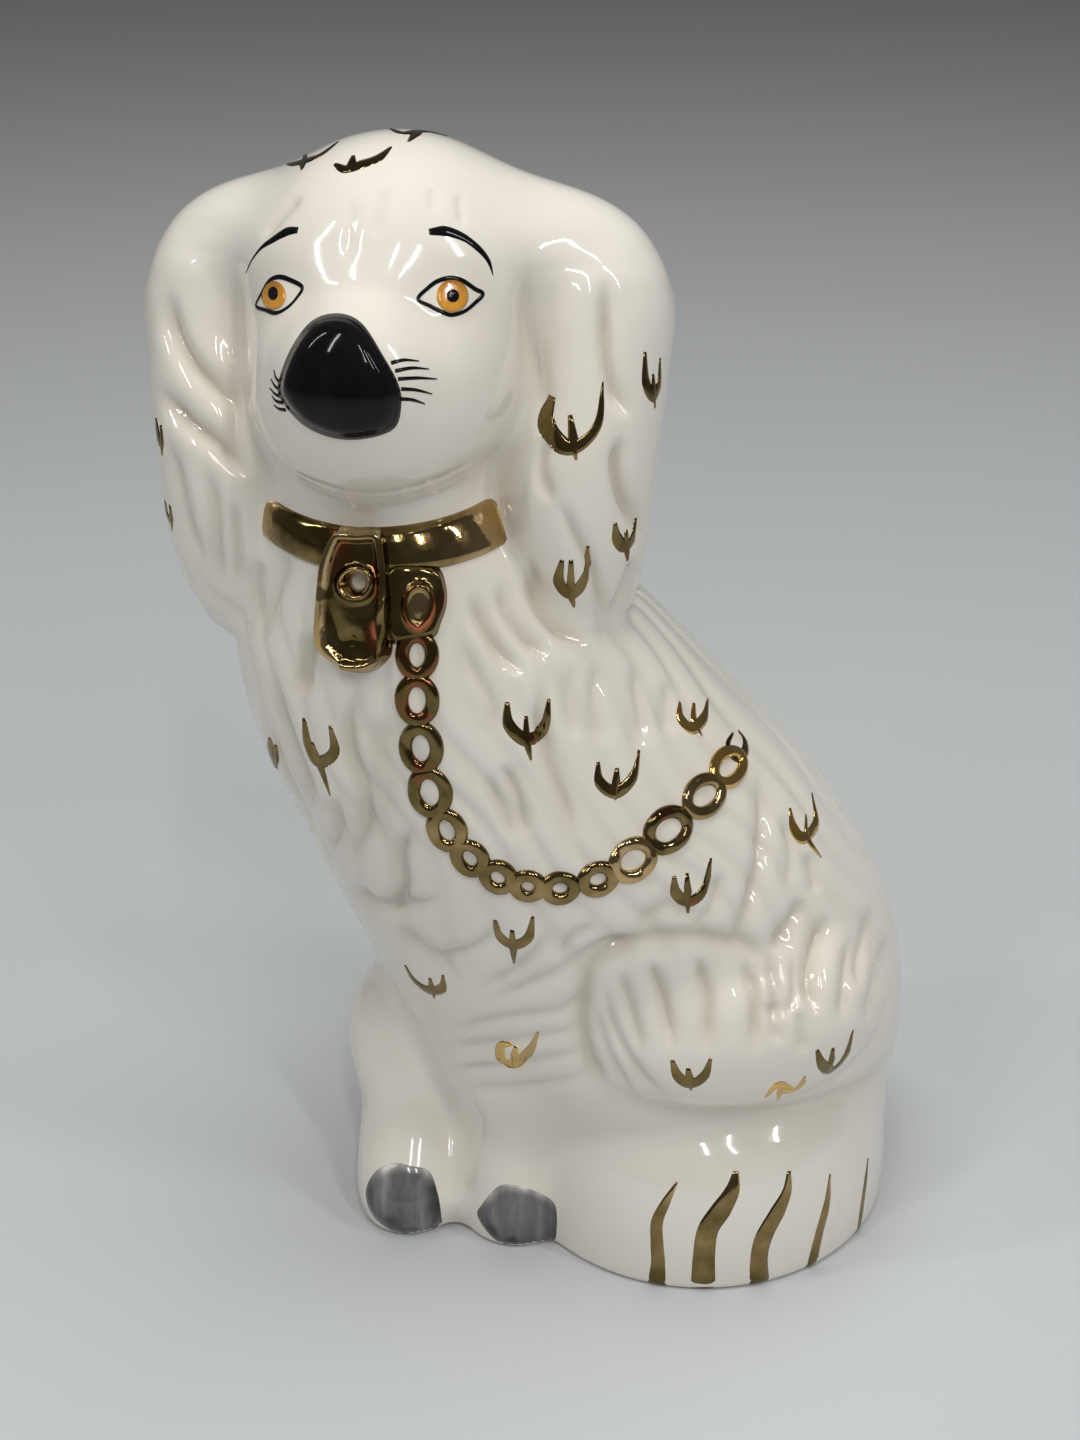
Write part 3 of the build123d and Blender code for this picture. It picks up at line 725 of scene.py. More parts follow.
def ring_faces(count, size, closed):
    """Quads that join count rings of size points each; open ends are capped."""
    faces = []
    for i in range(count if closed else count - 1):
        a = i * size
        b = (i + 1) % count * size
        for k in range(size):
            n = (k + 1) % size
            faces.append((a + k, b + k, b + n, a + n))
    if not closed:
        faces.append(tuple(range(size)))
        faces.append(tuple(range((count - 1) * size, count * size))[::-1])
    return faces


def brush_stroke(clay, pixels, half_widths, lift, across=5, closed=False, flat=0.5, tone=0.4):
    """A closed ribbon laid on the skin along photograph pixels.

    half_widths in millimetres and tone, which is stored on the mesh for the material, are spread
    evenly along the stroke. flat shapes its crown."""
    line = smooth_curve(pixels, 6, closed)
    hits = cast_line(line)
    places = np.array([hit[0] for hit in hits])
    normals = np.array([hit[1] for hit in hits])
    count = len(places)
    if closed:
        along = np.roll(places, -1, 0) - np.roll(places, 1, 0)
    else:
        along = np.gradient(places, axis=0)
    sides = unit(np.cross(normals, unit(along)))
    widths = spread_along(half_widths, count)
    tones = spread_along(tone, count)
    offsets = np.linspace(-1, 1, across)
    points = []
    values = []
    for place, normal, side, width, shade in zip(places, normals, sides, widths, tones):
        tops = []
        lows = []
        for offset in offsets:
            found, up = dropped(place + side * width * offset, normal)
            crown = max(1 - offset * offset, 0) ** flat
            tops.append(found + up * lift * (0.15 + 0.85 * crown))
            lows.append(found - up * SINK)
        points.extend(tops + lows[::-1])
        values.extend([shade] * 2 * across)
    clay.add(points, ring_faces(count, 2 * across, closed), values)


def patch(clay, outline, centre, height, rings=10, per_span=6, hole=0, tone=None):
    """A closed patch laid on the skin inside an outline of photograph pixels.

    height gives the lift in millimetres from how far out a point is, 0 to 1, and its pixel.
    hole is the radius in pixels of a round opening about the centre. tone, if given, works out
    from the same two what is stored on the mesh for the material."""
    rim = smooth_curve(outline, per_span, closed=True)
    centre = np.array(centre, float)
    inner = centre + hole * unit(rim - centre)
    count = len(rim)
    shares = [ring / rings for ring in range(0 if hole else 1, rings + 1)]
    spots = [(t, spot) for t in shares for spot in inner + t * (rim - inner)]
    first = 0 if hole else 1
    if not hole:
        spots.insert(0, (0, centre))
    tops = []
    lows = []
    for t, spot in spots:
        found, up = cast(spot)
        tops.append(found + up * height(t, spot))
        lows.append(found - up * SINK)
    half = len(tops)
    last = len(shares) - 1
    faces = []

    def index(ring, i):
        return first + ring * count + i % count

    for i in range(count):
        for ring in range(last):
            a, b = index(ring, i), index(ring, i + 1)
            c, d = index(ring + 1, i + 1), index(ring + 1, i)
            faces.append((a, b, c, d))
            faces.append((half + d, half + c, half + b, half + a))
        a, b = index(last, i), index(last, i + 1)
        faces.append((a, b, half + b, half + a))
        a, b = index(0, i), index(0, i + 1)
        if hole:
            faces.append((b, a, half + a, half + b))
        else:
            faces.append((0, b, a))
            faces.append((half, half + a, half + b))
    values = [tone(t, spot) if tone else 0 for t, spot in spots]
    clay.add(tops + lows, faces, values * 2)


# Materials

def principled(name, **sockets):
    """A material, its nodes and its shader, with some sockets set."""
    material = bpy.data.materials.new(name)
    material.use_nodes = True
    nodes = material.node_tree.nodes
    shader = nodes["Principled BSDF"]
    for socket, value in sockets.items():
        shader.inputs[socket.replace("_", " ")].default_value = value
    return material, nodes, material.node_tree.links, shader


def noise(nodes, links, scale, detail=3, stretch=None):
    """A noise texture in the object's own metres; stretch scales its axes."""
    place = nodes.new("ShaderNodeTexCoord")
    texture = nodes.new("ShaderNodeTexNoise")
    texture.inputs["Scale"].default_value = scale
    texture.inputs["Detail"].default_value = detail
    if stretch is None:
        links.new(place.outputs["Object"], texture.inputs["Vector"])
    else:
        mapping = nodes.new("ShaderNodeMapping")
        mapping.inputs["Scale"].default_value = stretch
        links.new(place.outputs["Object"], mapping.inputs["Vector"])
        links.new(mapping.outputs["Vector"], texture.inputs["Vector"])
    return texture.outputs["Fac"]


def ramp(nodes, links, source, stops):
    """A colour ramp from (position, colour) stops."""
    node = nodes.new("ShaderNodeValToRGB")
    elements = node.color_ramp.elements
    while len(elements) < len(stops):
        elements.new(0.5)
    for element, (position, colour) in zip(elements, stops):
        element.position = position
        element.color = (*colour, 1)
    links.new(source, node.inputs["Fac"])
    return node.outputs["Color"]


def spread_to(nodes, links, source, from_low, from_high, to_low, to_high):
    """A value moved from one range to another."""
    node = nodes.new("ShaderNodeMapRange")
    for socket, value in zip(("From Min", "From Max", "To Min", "To Max"),
                             (from_low, from_high, to_low, to_high)):
        node.inputs[socket].default_value = value
    links.new(source, node.inputs["Value"])
    return node.outputs["Result"]


def mixed(nodes, links, factor, first, second):
    """Two colours mixed by a factor; each is a socket or a plain colour."""
    node = nodes.new("ShaderNodeMix")
    node.data_type = "RGBA"
    links.new(factor, node.inputs["Factor"])
    for slot, colour in ((6, first), (7, second)):
        if isinstance(colour, tuple):
            node.inputs[slot].default_value = (*colour, 1)
        else:
            links.new(colour, node.inputs[slot])
    return node.outputs[2]


def attribute(nodes, name):
    """A value stored on the mesh."""
    node = nodes.new("ShaderNodeAttribute")
    node.attribute_name = name
    return node.outputs["Fac"]


def bumped(nodes, links, shader, source, strength, distance):
    """Fine relief on a shader."""
    node = nodes.new("ShaderNodeBump")
    node.inputs["Strength"].default_value = strength
    node.inputs["Distance"].default_value = distance
    links.new(source, node.inputs["Height"])
    links.new(node.outputs["Normal"], shader.inputs["Normal"])


def glaze_material():
    """Warm white glaze, with painted shade: it turns a darker beige in the carved grooves."""
    material, nodes, links, shader = principled(
        "white_glaze", Roughness=0.08, IOR=1.5, Coat_Weight=0.4, Coat_Roughness=0.02, Coat_IOR=1.5)
    cloud = noise(nodes, links, 28, 4)
    body = ramp(nodes, links, cloud, [(0.3, (0.83, 0.775, 0.68)), (0.7, (0.87, 0.825, 0.74))])
    # Painted shade: the darker beige follows the depth of carving stored on the skin.
    groove_shaded = mixed(nodes, links, attribute(nodes, "groove"), body, (0.60, 0.54, 0.44))
    links.new(groove_shaded, shader.inputs["Base Color"])
    links.new(spread_to(nodes, links, noise(nodes, links, 90, 2), 0.3, 0.7, 0.05, 0.12),
              shader.inputs["Roughness"])
    bumped(nodes, links, shader, noise(nodes, links, 420, 2), 0.05, 0.0004)
    return material


def summed(nodes, links, first, second):
    """Two values added."""
    node = nodes.new("ShaderNodeMath")
    node.operation = "ADD"
    links.new(first, node.inputs[0])
    links.new(second, node.inputs[1])
    return node.outputs[0]


def gold_material():
    """Liquid gold with painted reflections: copper red and dark olive where the tone is low, up to orange
    where it is high.
    """
    material, nodes, links, shader = principled("gilding", Metallic=1.0, Roughness=0.15)
    cloud = spread_to(nodes, links, noise(nodes, links, 170, 3), 0.3, 0.7, -0.13, 0.13)
    # The ramp paints the gold's reflections, from copper red and dark olive to bright orange.
    colour = ramp(nodes, links, summed(nodes, links, cloud, attribute(nodes, "tone")), [
        (0.0, (0.46, 0.14, 0.06)), (0.08, (0.26, 0.085, 0.04)), (0.17, (0.13, 0.10, 0.035)),
        (0.35, (0.29, 0.20, 0.085)), (0.55, (0.52, 0.37, 0.19)), (0.78, (0.66, 0.45, 0.17)),
        (1.0, (0.92, 0.55, 0.15))])
    links.new(colour, shader.inputs["Base Color"])
    links.new(spread_to(nodes, links, noise(nodes, links, 260, 3), 0.3, 0.7, 0.03, 0.14),
              shader.inputs["Roughness"])
    bumped(nodes, links, shader, noise(nodes, links, 700, 2), 0.12, 0.0002)
    return material


def black_material():
    """Glossy black enamel with faint brush variation."""
    material, nodes, links, shader = principled(
        "black_enamel", Roughness=0.08, Specular_IOR_Level=0.25)
    streak = noise(nodes, links, 200, 3, (1, 1, 0.35))
    colour = ramp(nodes, links, streak, [(0.3, (0.002, 0.002, 0.003)), (0.75, (0.007, 0.007, 0.009))])
    links.new(colour, shader.inputs["Base Color"])
    bumped(nodes, links, shader, streak, 0.08, 0.0003)
    return material


def amber_material():
    """Amber enamel, with painted shade that makes it dark under the upper lid, and orange at the bottom of
    the iris.
    """
    material, nodes, links, shader = principled(
        "amber_enamel", Roughness=0.15, Coat_Weight=0.5, Coat_Roughness=0.04)
    colour = ramp(nodes, links, attribute(nodes, "tone"),
                  [(0.05, (0.33, 0.14, 0.02)), (0.45, (0.68, 0.30, 0.035)), (0.9, (0.80, 0.38, 0.045))])
    shaded = mixed(nodes, links, spread_to(nodes, links, noise(nodes, links, 700, 2), 0.4, 0.7, 0, 0.3),
                   colour, (0.50, 0.19, 0.02))
    links.new(shaded, shader.inputs["Base Color"])
    return material


def wash_material():
    """Streaky grey-black wash: glaze where the tone is 0, black where it is 1."""
    material, nodes, links, shader = principled(
        "grey_wash", Roughness=0.15, Coat_Weight=0.4, Coat_Roughness=0.03)
    streak = spread_to(nodes, links, noise(nodes, links, 300, 4, (1, 0.5, 0.2)), 0.3, 0.7, -0.2, 0.2)
    colour = ramp(nodes, links, summed(nodes, links, streak, attribute(nodes, "tone")), [
        (0.0, (0.82, 0.79, 0.72)), (0.25, (0.34, 0.33, 0.32)), (0.5, (0.16, 0.155, 0.152)),
        (0.75, (0.055, 0.055, 0.056)), (1.0, (0.012, 0.012, 0.013))])
    links.new(colour, shader.inputs["Base Color"])
    return material


def clay_material():
    """Wiped biscuit clay under the base."""
    material, nodes, links, shader = principled("bare_clay", Roughness=0.8)
    grain = noise(nodes, links, 180, 5)
    colour = ramp(nodes, links, grain, [(0.3, (0.66, 0.58, 0.47)), (0.7, (0.80, 0.74, 0.64))])
    links.new(colour, shader.inputs["Base Color"])
    bumped(nodes, links, shader, grain, 0.3, 0.0005)
    return material


GLAZE = glaze_material()
GOLD = gold_material()
BLACK = black_material()
AMBER = amber_material()
WASH = wash_material()

# The carved skin
SKIN_POINTS, SKIN_QUADS, SKIN_NORMALS, SKIN_DEPTH = carved_skin()
SKIN_TREE = BVHTree.FromPolygons(SKIN_POINTS.tolist(), SKIN_QUADS.tolist())
# The stored depth of carving paints shade into the grooves through the glaze.
skin = new_piece("figure_glaze", SKIN_POINTS, SKIN_QUADS, GLAZE,
                 {"groove": np.clip(SKIN_DEPTH / 3.2, 0, 0.6)})
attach(skin, "root")
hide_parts("trunk_front", "trunk_back", "head_face", "head_back", "ear_left", "ear_right",
            "foreleg_left", "foreleg_right", "tail")
frame["nodes"]["base_slab"].data.materials.clear()
frame["nodes"]["base_slab"].data.materials.append(clay_material())

# Gilt sprays: cup from tip to tip, then stem, in photograph pixels. Widths and film are in millimetres.
BODY_SPRAYS = [
    ([(507, 702), (509, 725), (527, 740), (544, 727), (549, 699)], [(526, 716), (527, 740), (531, 760)]),
    ([(598, 762), (600, 782), (616, 792), (633, 777), (639, 750)], [(617, 768), (615, 800)]),
    ([(680, 702), (681, 718), (692, 728), (704, 718), (708, 699)], [(694, 703), (694, 720), (702, 736)]),
    ([(790, 808), (794, 828), (803, 838), (816, 823), (812, 793)], [(806, 815), (808, 838), (821, 857)]),
    ([(674, 876), (676, 893), (688, 902), (704, 890), (711, 858)], [(687, 873), (688, 913)]),
    ([(495, 920), (500, 936), (513, 945), (528, 938), (533, 916)], [(512, 930), (514, 963)]),
    ([(304, 718), (308, 745), (318, 762), (334, 752), (330, 725)], [(312, 742), (320, 765), (330, 795)]),
    ([(270, 738), (271, 755), (275, 768)], [(276, 745), (276, 770)]),
    ([(405, 965), (414, 980), (428, 990), (442, 988), (443, 975)], [(430, 978), (434, 998)]),
    ([(512, 1044), (501, 1046), (502, 1060), (516, 1062), (530, 1050), (538, 1032)],
     [(516, 1046), (513, 1066)]),
    ([(672, 1060), (678, 1076), (690, 1084), (704, 1076), (711, 1058)], [(688, 1068), (691, 1090)]),
    ([(766, 1097), (778, 1085), (790, 1091), (800, 1086), (805, 1076)], [(783, 1084), (778, 1100)]),
    ([(817, 1050), (822, 1064), (832, 1070), (846, 1055), (853, 1030)], [(833, 1048), (830, 1073)]),
]
EAR_SPRAYS = [
    ([(552, 396), (547, 424), (560, 444), (578, 446), (598, 424), (603, 382)], [(570, 415), (576, 460)]),
    ([(645, 352), (646, 382), (653, 395), (659, 384), (660, 358)], [(653, 374), (655, 408)]),
    ([(562, 560), (559, 582), (571, 594), (585, 578), (588, 546)], [(571, 560), (571, 592), (574, 607)]),
    ([(615, 523), (617, 538), (624, 546), (632, 540), (636, 518)], [(626, 530), (628, 565)]),
    ([(156, 418), (158, 436), (162, 450)], [(161, 425), (162, 455)]),
    ([(165, 500), (167, 514), (172, 524)], [(170, 505), (172, 530)]),
]
CROWN_SPRAYS = [
    ([(391, 129), (404, 133), (420, 131), (436, 132), (449, 129)], [(424, 128), (416, 134), (408, 142)]),
    ([(288, 164), (300, 162), (318, 156), (338, 142)], [(305, 155), (302, 170)]),
    ([(335, 164), (346, 169), (362, 164), (378, 158), (391, 147)], [(353, 156), (350, 172)]),
]
BROAD_CUP_WIDTHS = (0.9, 1.6, 1.5, 1.0, 0.7, 0.25)
CUP_WIDTHS = (0.35, 1.0, 1.15, 0.95, 0.25)
STEM_WIDTHS = (0.35, 0.8, 0.2)
FILM = 0.12
# Tones of the painted reflections on the sprays: bright glints and dark reflections.
BRIGHT_REFLECTION_TONES = (0.95, 0.85, 0.6)
DARK_REFLECTION_TONES = (0.28, 0.2, 0.32)


def gilt_sprays(name, sprays, glinting=(), broad=()):
    """Brushed gilt sprays as one piece; the numbered ones carry a painted bright reflection or have a
    broad first lobe, and the rest a painted dark reflection.
    """
    clay = Clay()
    for number, (cup, stem) in enumerate(sprays):
        tone = BRIGHT_REFLECTION_TONES if number in glinting else DARK_REFLECTION_TONES
        widths = BROAD_CUP_WIDTHS if number in broad else CUP_WIDTHS
        brush_stroke(clay, cup, widths, FILM, tone=tone)
        brush_stroke(clay, stem, STEM_WIDTHS, FILM * 1.15, tone=tone)
    clay.piece(name, "film", GOLD, "gilding")


gilt_sprays("gilt_sprays_body", BODY_SPRAYS, glinting=(2, 3, 9, 11))
gilt_sprays("gilt_sprays_ears", EAR_SPRAYS, broad=(0,))
gilt_sprays("gilt_sprays_crown", CROWN_SPRAYS)

# Gilt bands on the tail, from the pointed top to the base
TAIL_BANDS = [
    [(677, 1182), (666, 1202), (657, 1222), (657, 1244), (658, 1264), (656, 1292)],
    [(736, 1171), (732, 1191), (721, 1210), (708, 1230), (704, 1256), (703, 1294)],
    [(789, 1171), (787, 1191), (778, 1211), (764, 1237), (759, 1260), (760, 1291)],
    [(830, 1174), (828, 1196), (825, 1212), (819, 1234), (813, 1260), (810, 1274)],
    [(868, 1158), (866, 1178), (863, 1200), (860, 1222), (857, 1237)],
]
# Painted reflections on the bands: lighter at the pointed top and darker towards the base.
BAND_REFLECTION_TONES = (0.5, 0.32, 0.3, 0.28, 0.25)
BAND_WIDTHS = [
    (0.2, 0.8, 1.1, 1.2, 1.3, 1.8),
    (0.5, 1.4, 1.9, 1.9, 2.0, 2.3),
    (0.4, 1.0, 1.6, 1.8, 1.7, 2.0),
    (0.2, 0.7, 1.0, 1.1, 1.3, 1.4),
    (0.2, 0.7, 0.9, 0.9, 0.8),
]


def tail_bands():
    """The five brushed bands."""
    clay = Clay()
    for line, widths in zip(TAIL_BANDS, BAND_WIDTHS):
        brush_stroke(clay, line, widths, FILM, across=7, tone=BAND_REFLECTION_TONES)
    clay.piece("gilt_tail_bands", "film", GOLD, "gilding")


tail_bands()

# Face: black outlines, amber irises, brows, nose and whiskers
EYE_OUTLINES = [
    [(256, 306), (261, 294), (269, 281), (279, 277), (290, 280), (302, 287), (298, 296), (288, 307),
     (276, 313), (265, 310)],
    [(418, 299), (428, 288), (438, 281), (451, 278), (463, 281), (475, 289), (483, 294), (475, 303),
     (465, 311), (452, 315), (442, 312), (430, 306)],
]
EYE_LINE_WIDTHS = (0.28, 0.34, 0.4, 0.34, 0.28, 0.36, 0.3)
IRISES = [((273.6, 295.5), (12.2, 14.5)), ((452.5, 296), (16, 16.5))]
PUPILS = [((273.6, 293.6), (5.8, 7.6)), ((452.5, 296), (7, 7.2))]
BROWS = [
    [(298, 230), (286, 232), (272, 240), (261, 248), (252, 260), (246, 273)],
    [(429, 232), (444, 231), (456, 234), (468, 240), (481, 251), (489, 262), (493, 275)],
]
BROW_WIDTHS = [(0.5, 0.8, 0.65, 0.35, 0.18, 0.06), (0.5, 0.85, 0.75, 0.6, 0.5, 0.36, 0.08)]
NOSE_OUTLINE = [
    (339, 314), (362, 324), (383, 356), (398, 384), (401, 405), (394, 428), (366, 438), (336, 438),
    (306, 426), (284, 403), (279, 384), (292, 348), (313, 321),
]
NOSE_CENTRE = (340, 384)
WHISKERS = [
    [(391, 363), (404, 360), (419, 361)],
    [(395, 371), (412, 368), (429, 369)],
    [(398, 379), (418, 378), (437, 379)],
    [(401, 389), (416, 390), (432, 394)],
    [(401, 399), (413, 400), (425, 404)],
    [(282, 385), (276, 378), (274, 370)],
    [(281, 391), (275, 386), (271, 379)],
    [(281, 397), (275, 394), (270, 388)],
    [(283, 403), (276, 401), (272, 396)],
    [(286, 410), (279, 409), (274, 405)],
]
WHISKER_WIDTHS = (0.3, 0.25, 0.1)
FACE_NODES = ("eye_outlines", "irises", "pupils", "brows", "nose_enamel", "whiskers")
IRIS_FILM = 0.14
PUPIL_FILM = 0.24


def oval_outline(centre, radii, count=12):
    """Pixels round an oval."""
    angles = np.linspace(0, 2 * math.pi, count, endpoint=False)
    return [(centre[0] + radii[0] * math.cos(a), centre[1] + radii[1] * math.sin(a)) for a in angles]


def film_height(lift):
    """A film of even thickness with a thin edge."""
    return lambda t, pixel: lift * (0.3 + 0.7 * fade(1.0, 0.85, t))


def iris_shade_tone(centre, radii):
    """Painted shade under the upper lid: 0 at the top of an iris and 1 at its bottom."""
    return lambda t, pixel: 0.5 + 0.5 * (pixel[1] - centre[1]) / radii[1]


def nose_height(t, pixel):
    """The nose: a flat front with a rounded rim."""
    return 0.15 + 1.5 * fade(1.0, 0.72, t)


def face_paint():
    """Eyes, brows, nose and whiskers."""
    clays = {node: Clay() for node in FACE_NODES}
    for line in EYE_OUTLINES:
        brush_stroke(clays["eye_outlines"], line, EYE_LINE_WIDTHS, FILM, closed=True)
    for centre, radii in IRISES:
        patch(clays["irises"], oval_outline(centre, radii), centre, film_height(IRIS_FILM), rings=5,
              tone=iris_shade_tone(centre, radii))
    for centre, radii in PUPILS:
        patch(clays["pupils"], oval_outline(centre, radii), centre, film_height(PUPIL_FILM), rings=4)
    for line, widths in zip(BROWS, BROW_WIDTHS):
        brush_stroke(clays["brows"], line, widths, FILM)
    for line in WHISKERS:
        brush_stroke(clays["whiskers"], line, WHISKER_WIDTHS, FILM, across=3)
    patch(clays["nose_enamel"], NOSE_OUTLINE, NOSE_CENTRE, nose_height, rings=14)
    for node, clay in clays.items():
        material, slot = (AMBER, "amber_enamel") if node == "irises" else (BLACK, "black_enamel")
        clay.piece(node, "film", material, slot)


face_paint()

# Paws: wash over the toes
WASH_OUTLINES = [
    ([(366, 1191), (376, 1171), (395, 1163), (411, 1166), (429, 1171), (437, 1191), (441, 1214),
      (441, 1240), (418, 1239), (391, 1230), (372, 1214)], (405, 1202)),
    ([(478, 1217), (483, 1203), (499, 1186), (518, 1186), (540, 1193), (554, 1203), (557, 1217),
      (556, 1236), (551, 1251), (525, 1250), (497, 1241)], (519, 1217)),
]
WASH_TONE = 0.5
SIDE_TONE = 0.3
THIN_TONE = 0.35
CLAW_TONE = 0.55
CLAW_REACH = 5
CLAWS = [(390, 1222), (415, 1232), (492, 1232), (513, 1241), (537, 1246)]


def wash_tone(outline):
    """Dark at the sides of a paw and black at its claws, thinning out at the top."""
    top = min(v for _, v in outline)
    height = max(v for _, v in outline) - top

    def tone(t, pixel):
        down = (pixel[1] - top) / height
        sides = SIDE_TONE * fade(0.6, 1.0, t) * fade(0.15, 0.45, down)
        thin = THIN_TONE * fade(0.7, 1.0, t) * fade(0.4, 0.1, down)
        claws = CLAW_TONE * max(bell(math.dist(pixel, claw), CLAW_REACH) for claw in CLAWS)
        return WASH_TONE + sides - thin + claws

    return tone


def paw_washes():
    """Grey-black wash on both forepaws."""
    clay = Clay()
    for outline, centre in WASH_OUTLINES:
        patch(clay, outline, centre, film_height(FILM), rings=16, tone=wash_tone(outline))
    clay.piece("paw_washes", "film", WASH, "grey_wash")


paw_washes()

# Collar, padlock, hasp and chain in gilded relief
COLLAR_CENTRE_HEIGHT = 142
COLLAR_RISE = 4
COLLAR_TILT = 1.2
# Painted reflection on the collar's gold: darker at the front, lighter on the sides and back.
COLLAR_FRONT_REFLECTION_TONE = 0.2
COLLAR_SIDE_REFLECTION_TONE = 0.55
COLLAR_HALF_HEIGHT = 3.5
COLLAR_RELIEF = 1.2
NECK_AXIS = (-36.5, -24.5)
COLLAR_STEPS = 144
COLLAR_SPOTS = (-1, -0.93, -0.75, -0.4, 0, 0.4, 0.75, 0.93, 1)
PADLOCK_OUTLINE = [
    (336, 529), (323, 560), (319, 600), (318, 630), (323, 649), (336, 664), (354, 672), (372, 671),
    (387, 661), (393, 647), (394, 605), (392, 565), (384, 531), (360, 527),
]
PADLOCK_RELIEF = 2.8
BOSS_PIXEL = (360, 581)
BOSS_HOLE = 8
BALL_PIXEL = (356, 638)
# Where the painted red reflection on the padlock is centred
RED_REFLECTION_PIXEL = (383, 628)

# Heights in millimetres on the padlock, and the tones of its painted reflections
PADLOCK_EDGE = 0.2
SUNK_DEPTH = 1.0
BOSS_RADIUS = 14
BOSS_RELIEF = 1.1
BOSS_DIP = 0.9
BALL_DEPTH = 0.8
SCROLL_RELIEF = 0.5
OLIVE_REFLECTION_TONE = 0.17
BORDER_LEFT_REFLECTION_TONE = 0.62
BORDER_REFLECTION_FALL = 0.3
RING_REFLECTION_TONE = 0.5
RED_REFLECTION_DROP = 0.14
SCROLLS = [
    [(331, 596), (332, 620), (337, 640), (347, 656), (362, 661)],
    [(387, 600), (380, 620), (386, 638), (377, 655)],
]
HASP_OUTLINE = [
    (384, 566), (412, 561), (438, 567), (446, 588), (446, 606), (441, 622), (434, 637), (412, 641),
    (390, 641), (386, 604),
]
HASP_CENTRE = (418, 605)
HASP_RELIEF = 1.5
CABOCHON_RADII = (13, 20)
# Middles of the links; the last one only gives the direction of the link before it
CHAIN_PIXELS = [
    (417, 655), (417, 700), (421, 748), (430, 792), (447, 830), (470, 858), (498, 877), (528, 886),
    (560, 888), (598, 879), (633, 860), (668, 830), (704, 796), (728, 767), (737, 745),
]
LINK_HALF_LENGTHS = (19, 20, 20, 20, 17, 15, 14, 13, 14, 15, 20, 21, 19, 17)
# Painted reflections, link by link, from dark copper near the hasp to bright orange at the far end; the
# brushed last link gets a dark one.
LINK_REFLECTION_TONES = (0.13, 0.15, 0.2, 0.25, 0.3, 0.3, 0.28, 0.3, 0.3, 0.35, 0.55, 0.22, 0.45, 0.85)
LINK_SLIM = 0.78
LINK_BAND = 1.15
LINK_RELIEF = 0.8
LAST_LINK = [(733, 733), (728, 744), (731, 754), (738, 758), (745, 751), (745, 741), (738, 730)]
LAST_LINK_WIDTHS = (0.25, 0.6, 0.7, 0.8, 0.95, 0.8, 0.2)
LAST_LINK_REFLECTION_TONE = 0.22


def collar():
    """Raised band round the neck, on the trunk and head without the ears; it dips at the padlock."""
    bearings = np.linspace(0, 2 * math.pi, COLLAR_STEPS, endpoint=False)[:, None]
    spots = np.array(COLLAR_SPOTS)[None]
    out = np.stack(np.broadcast_arrays(np.sin(bearings) + 0 * spots, -np.cos(bearings), 0 * spots), -1)
    axis = np.zeros(out.shape) + (*NECK_AXIS, COLLAR_CENTRE_HEIGHT)
    back = np.minimum(1 - np.cos(bearings), 1)
    axis[..., 2] += COLLAR_RISE * back + COLLAR_TILT * np.maximum(-np.sin(bearings), 0)
    axis[..., 2] += COLLAR_HALF_HEIGHT * spots
    inner = np.full(out.shape[:2], 10.0)
    outer = np.full(out.shape[:2], 45.0)
    for _ in range(20):
        middle = (inner + outer) / 2
        inside = neck_and_head((axis + middle[..., None] * out).reshape(-1, 3)).reshape(middle.shape) < 0
        inner = np.where(inside, middle, inner)
        outer = np.where(inside, outer, middle)
    crown = COLLAR_RELIEF * (1 - np.abs(spots) ** 6)
    tops = axis + (inner + crown)[..., None] * out
    lows = axis + (inner - COLLAR_RELIEF)[..., None] * out
    rings = np.concatenate((tops, lows[:, ::-1]), 1)
    count = rings.shape[1]
    clay = Clay()
    # Painted reflection: darker gold at the front, lighter towards the sides and back.
    tones = COLLAR_FRONT_REFLECTION_TONE + (COLLAR_SIDE_REFLECTION_TONE - COLLAR_FRONT_REFLECTION_TONE) * fade(0.02, 0.3, back)
    clay.add(rings.reshape(-1, 3), ring_faces(COLLAR_STEPS, count, closed=True), np.repeat(tones, count))
    clay.piece("collar", "relief", GOLD, "gilding")


def line_distance(pixel, line):
    """Distance in pixels from a pixel to a smooth line."""
    return np.linalg.norm(line - pixel, axis=1).min()


PADLOCK_RIM = smooth_curve(PADLOCK_OUTLINE, 10, closed=True)
SCROLL_LINES = [smooth_curve(scroll, 10) for scroll in SCROLLS]


def padlock_height(t, pixel):
    """The padlock's lift: a rounded border, a sunk middle, a ring boss, two scrolls and a dimple."""
    edge = line_distance(pixel, PADLOCK_RIM)
    from_boss = math.dist(pixel, BOSS_PIXEL)
    from_ball = math.dist(pixel, BALL_PIXEL)
    plate = PADLOCK_EDGE + PADLOCK_RELIEF * fade(0, 7, edge) - SUNK_DEPTH * fade(10, 16, edge)
    boss = BOSS_RELIEF * bell(from_boss - BOSS_RADIUS, 4) - BOSS_DIP * bell(from_boss - BOSS_HOLE, 4)
    ball = -BALL_DEPTH * bell(from_ball, 7)
    scrolls = sum(SCROLL_RELIEF * bell(line_distance(pixel, line), 6) for line in SCROLL_LINES)
    return plate + boss + ball + scrolls


def padlock_reflection_tone(t, pixel):
    """Painted reflections: tan on the border, lighter on its left, olive in the sunk middle, lighter round
    the boss hole, and red on the lower right.
    """
    edge = line_distance(pixel, PADLOCK_RIM)
    across = fade(330, 390, pixel[0])
    border = (BORDER_LEFT_REFLECTION_TONE - BORDER_REFLECTION_FALL * across) * fade(17, 11, edge)
    ring = RING_REFLECTION_TONE * bell(math.dist(pixel, BOSS_PIXEL) - 11, 6)
    red = RED_REFLECTION_DROP * bell(math.dist(pixel, RED_REFLECTION_PIXEL), 18)
    return max(OLIVE_REFLECTION_TONE, border, ring) - red


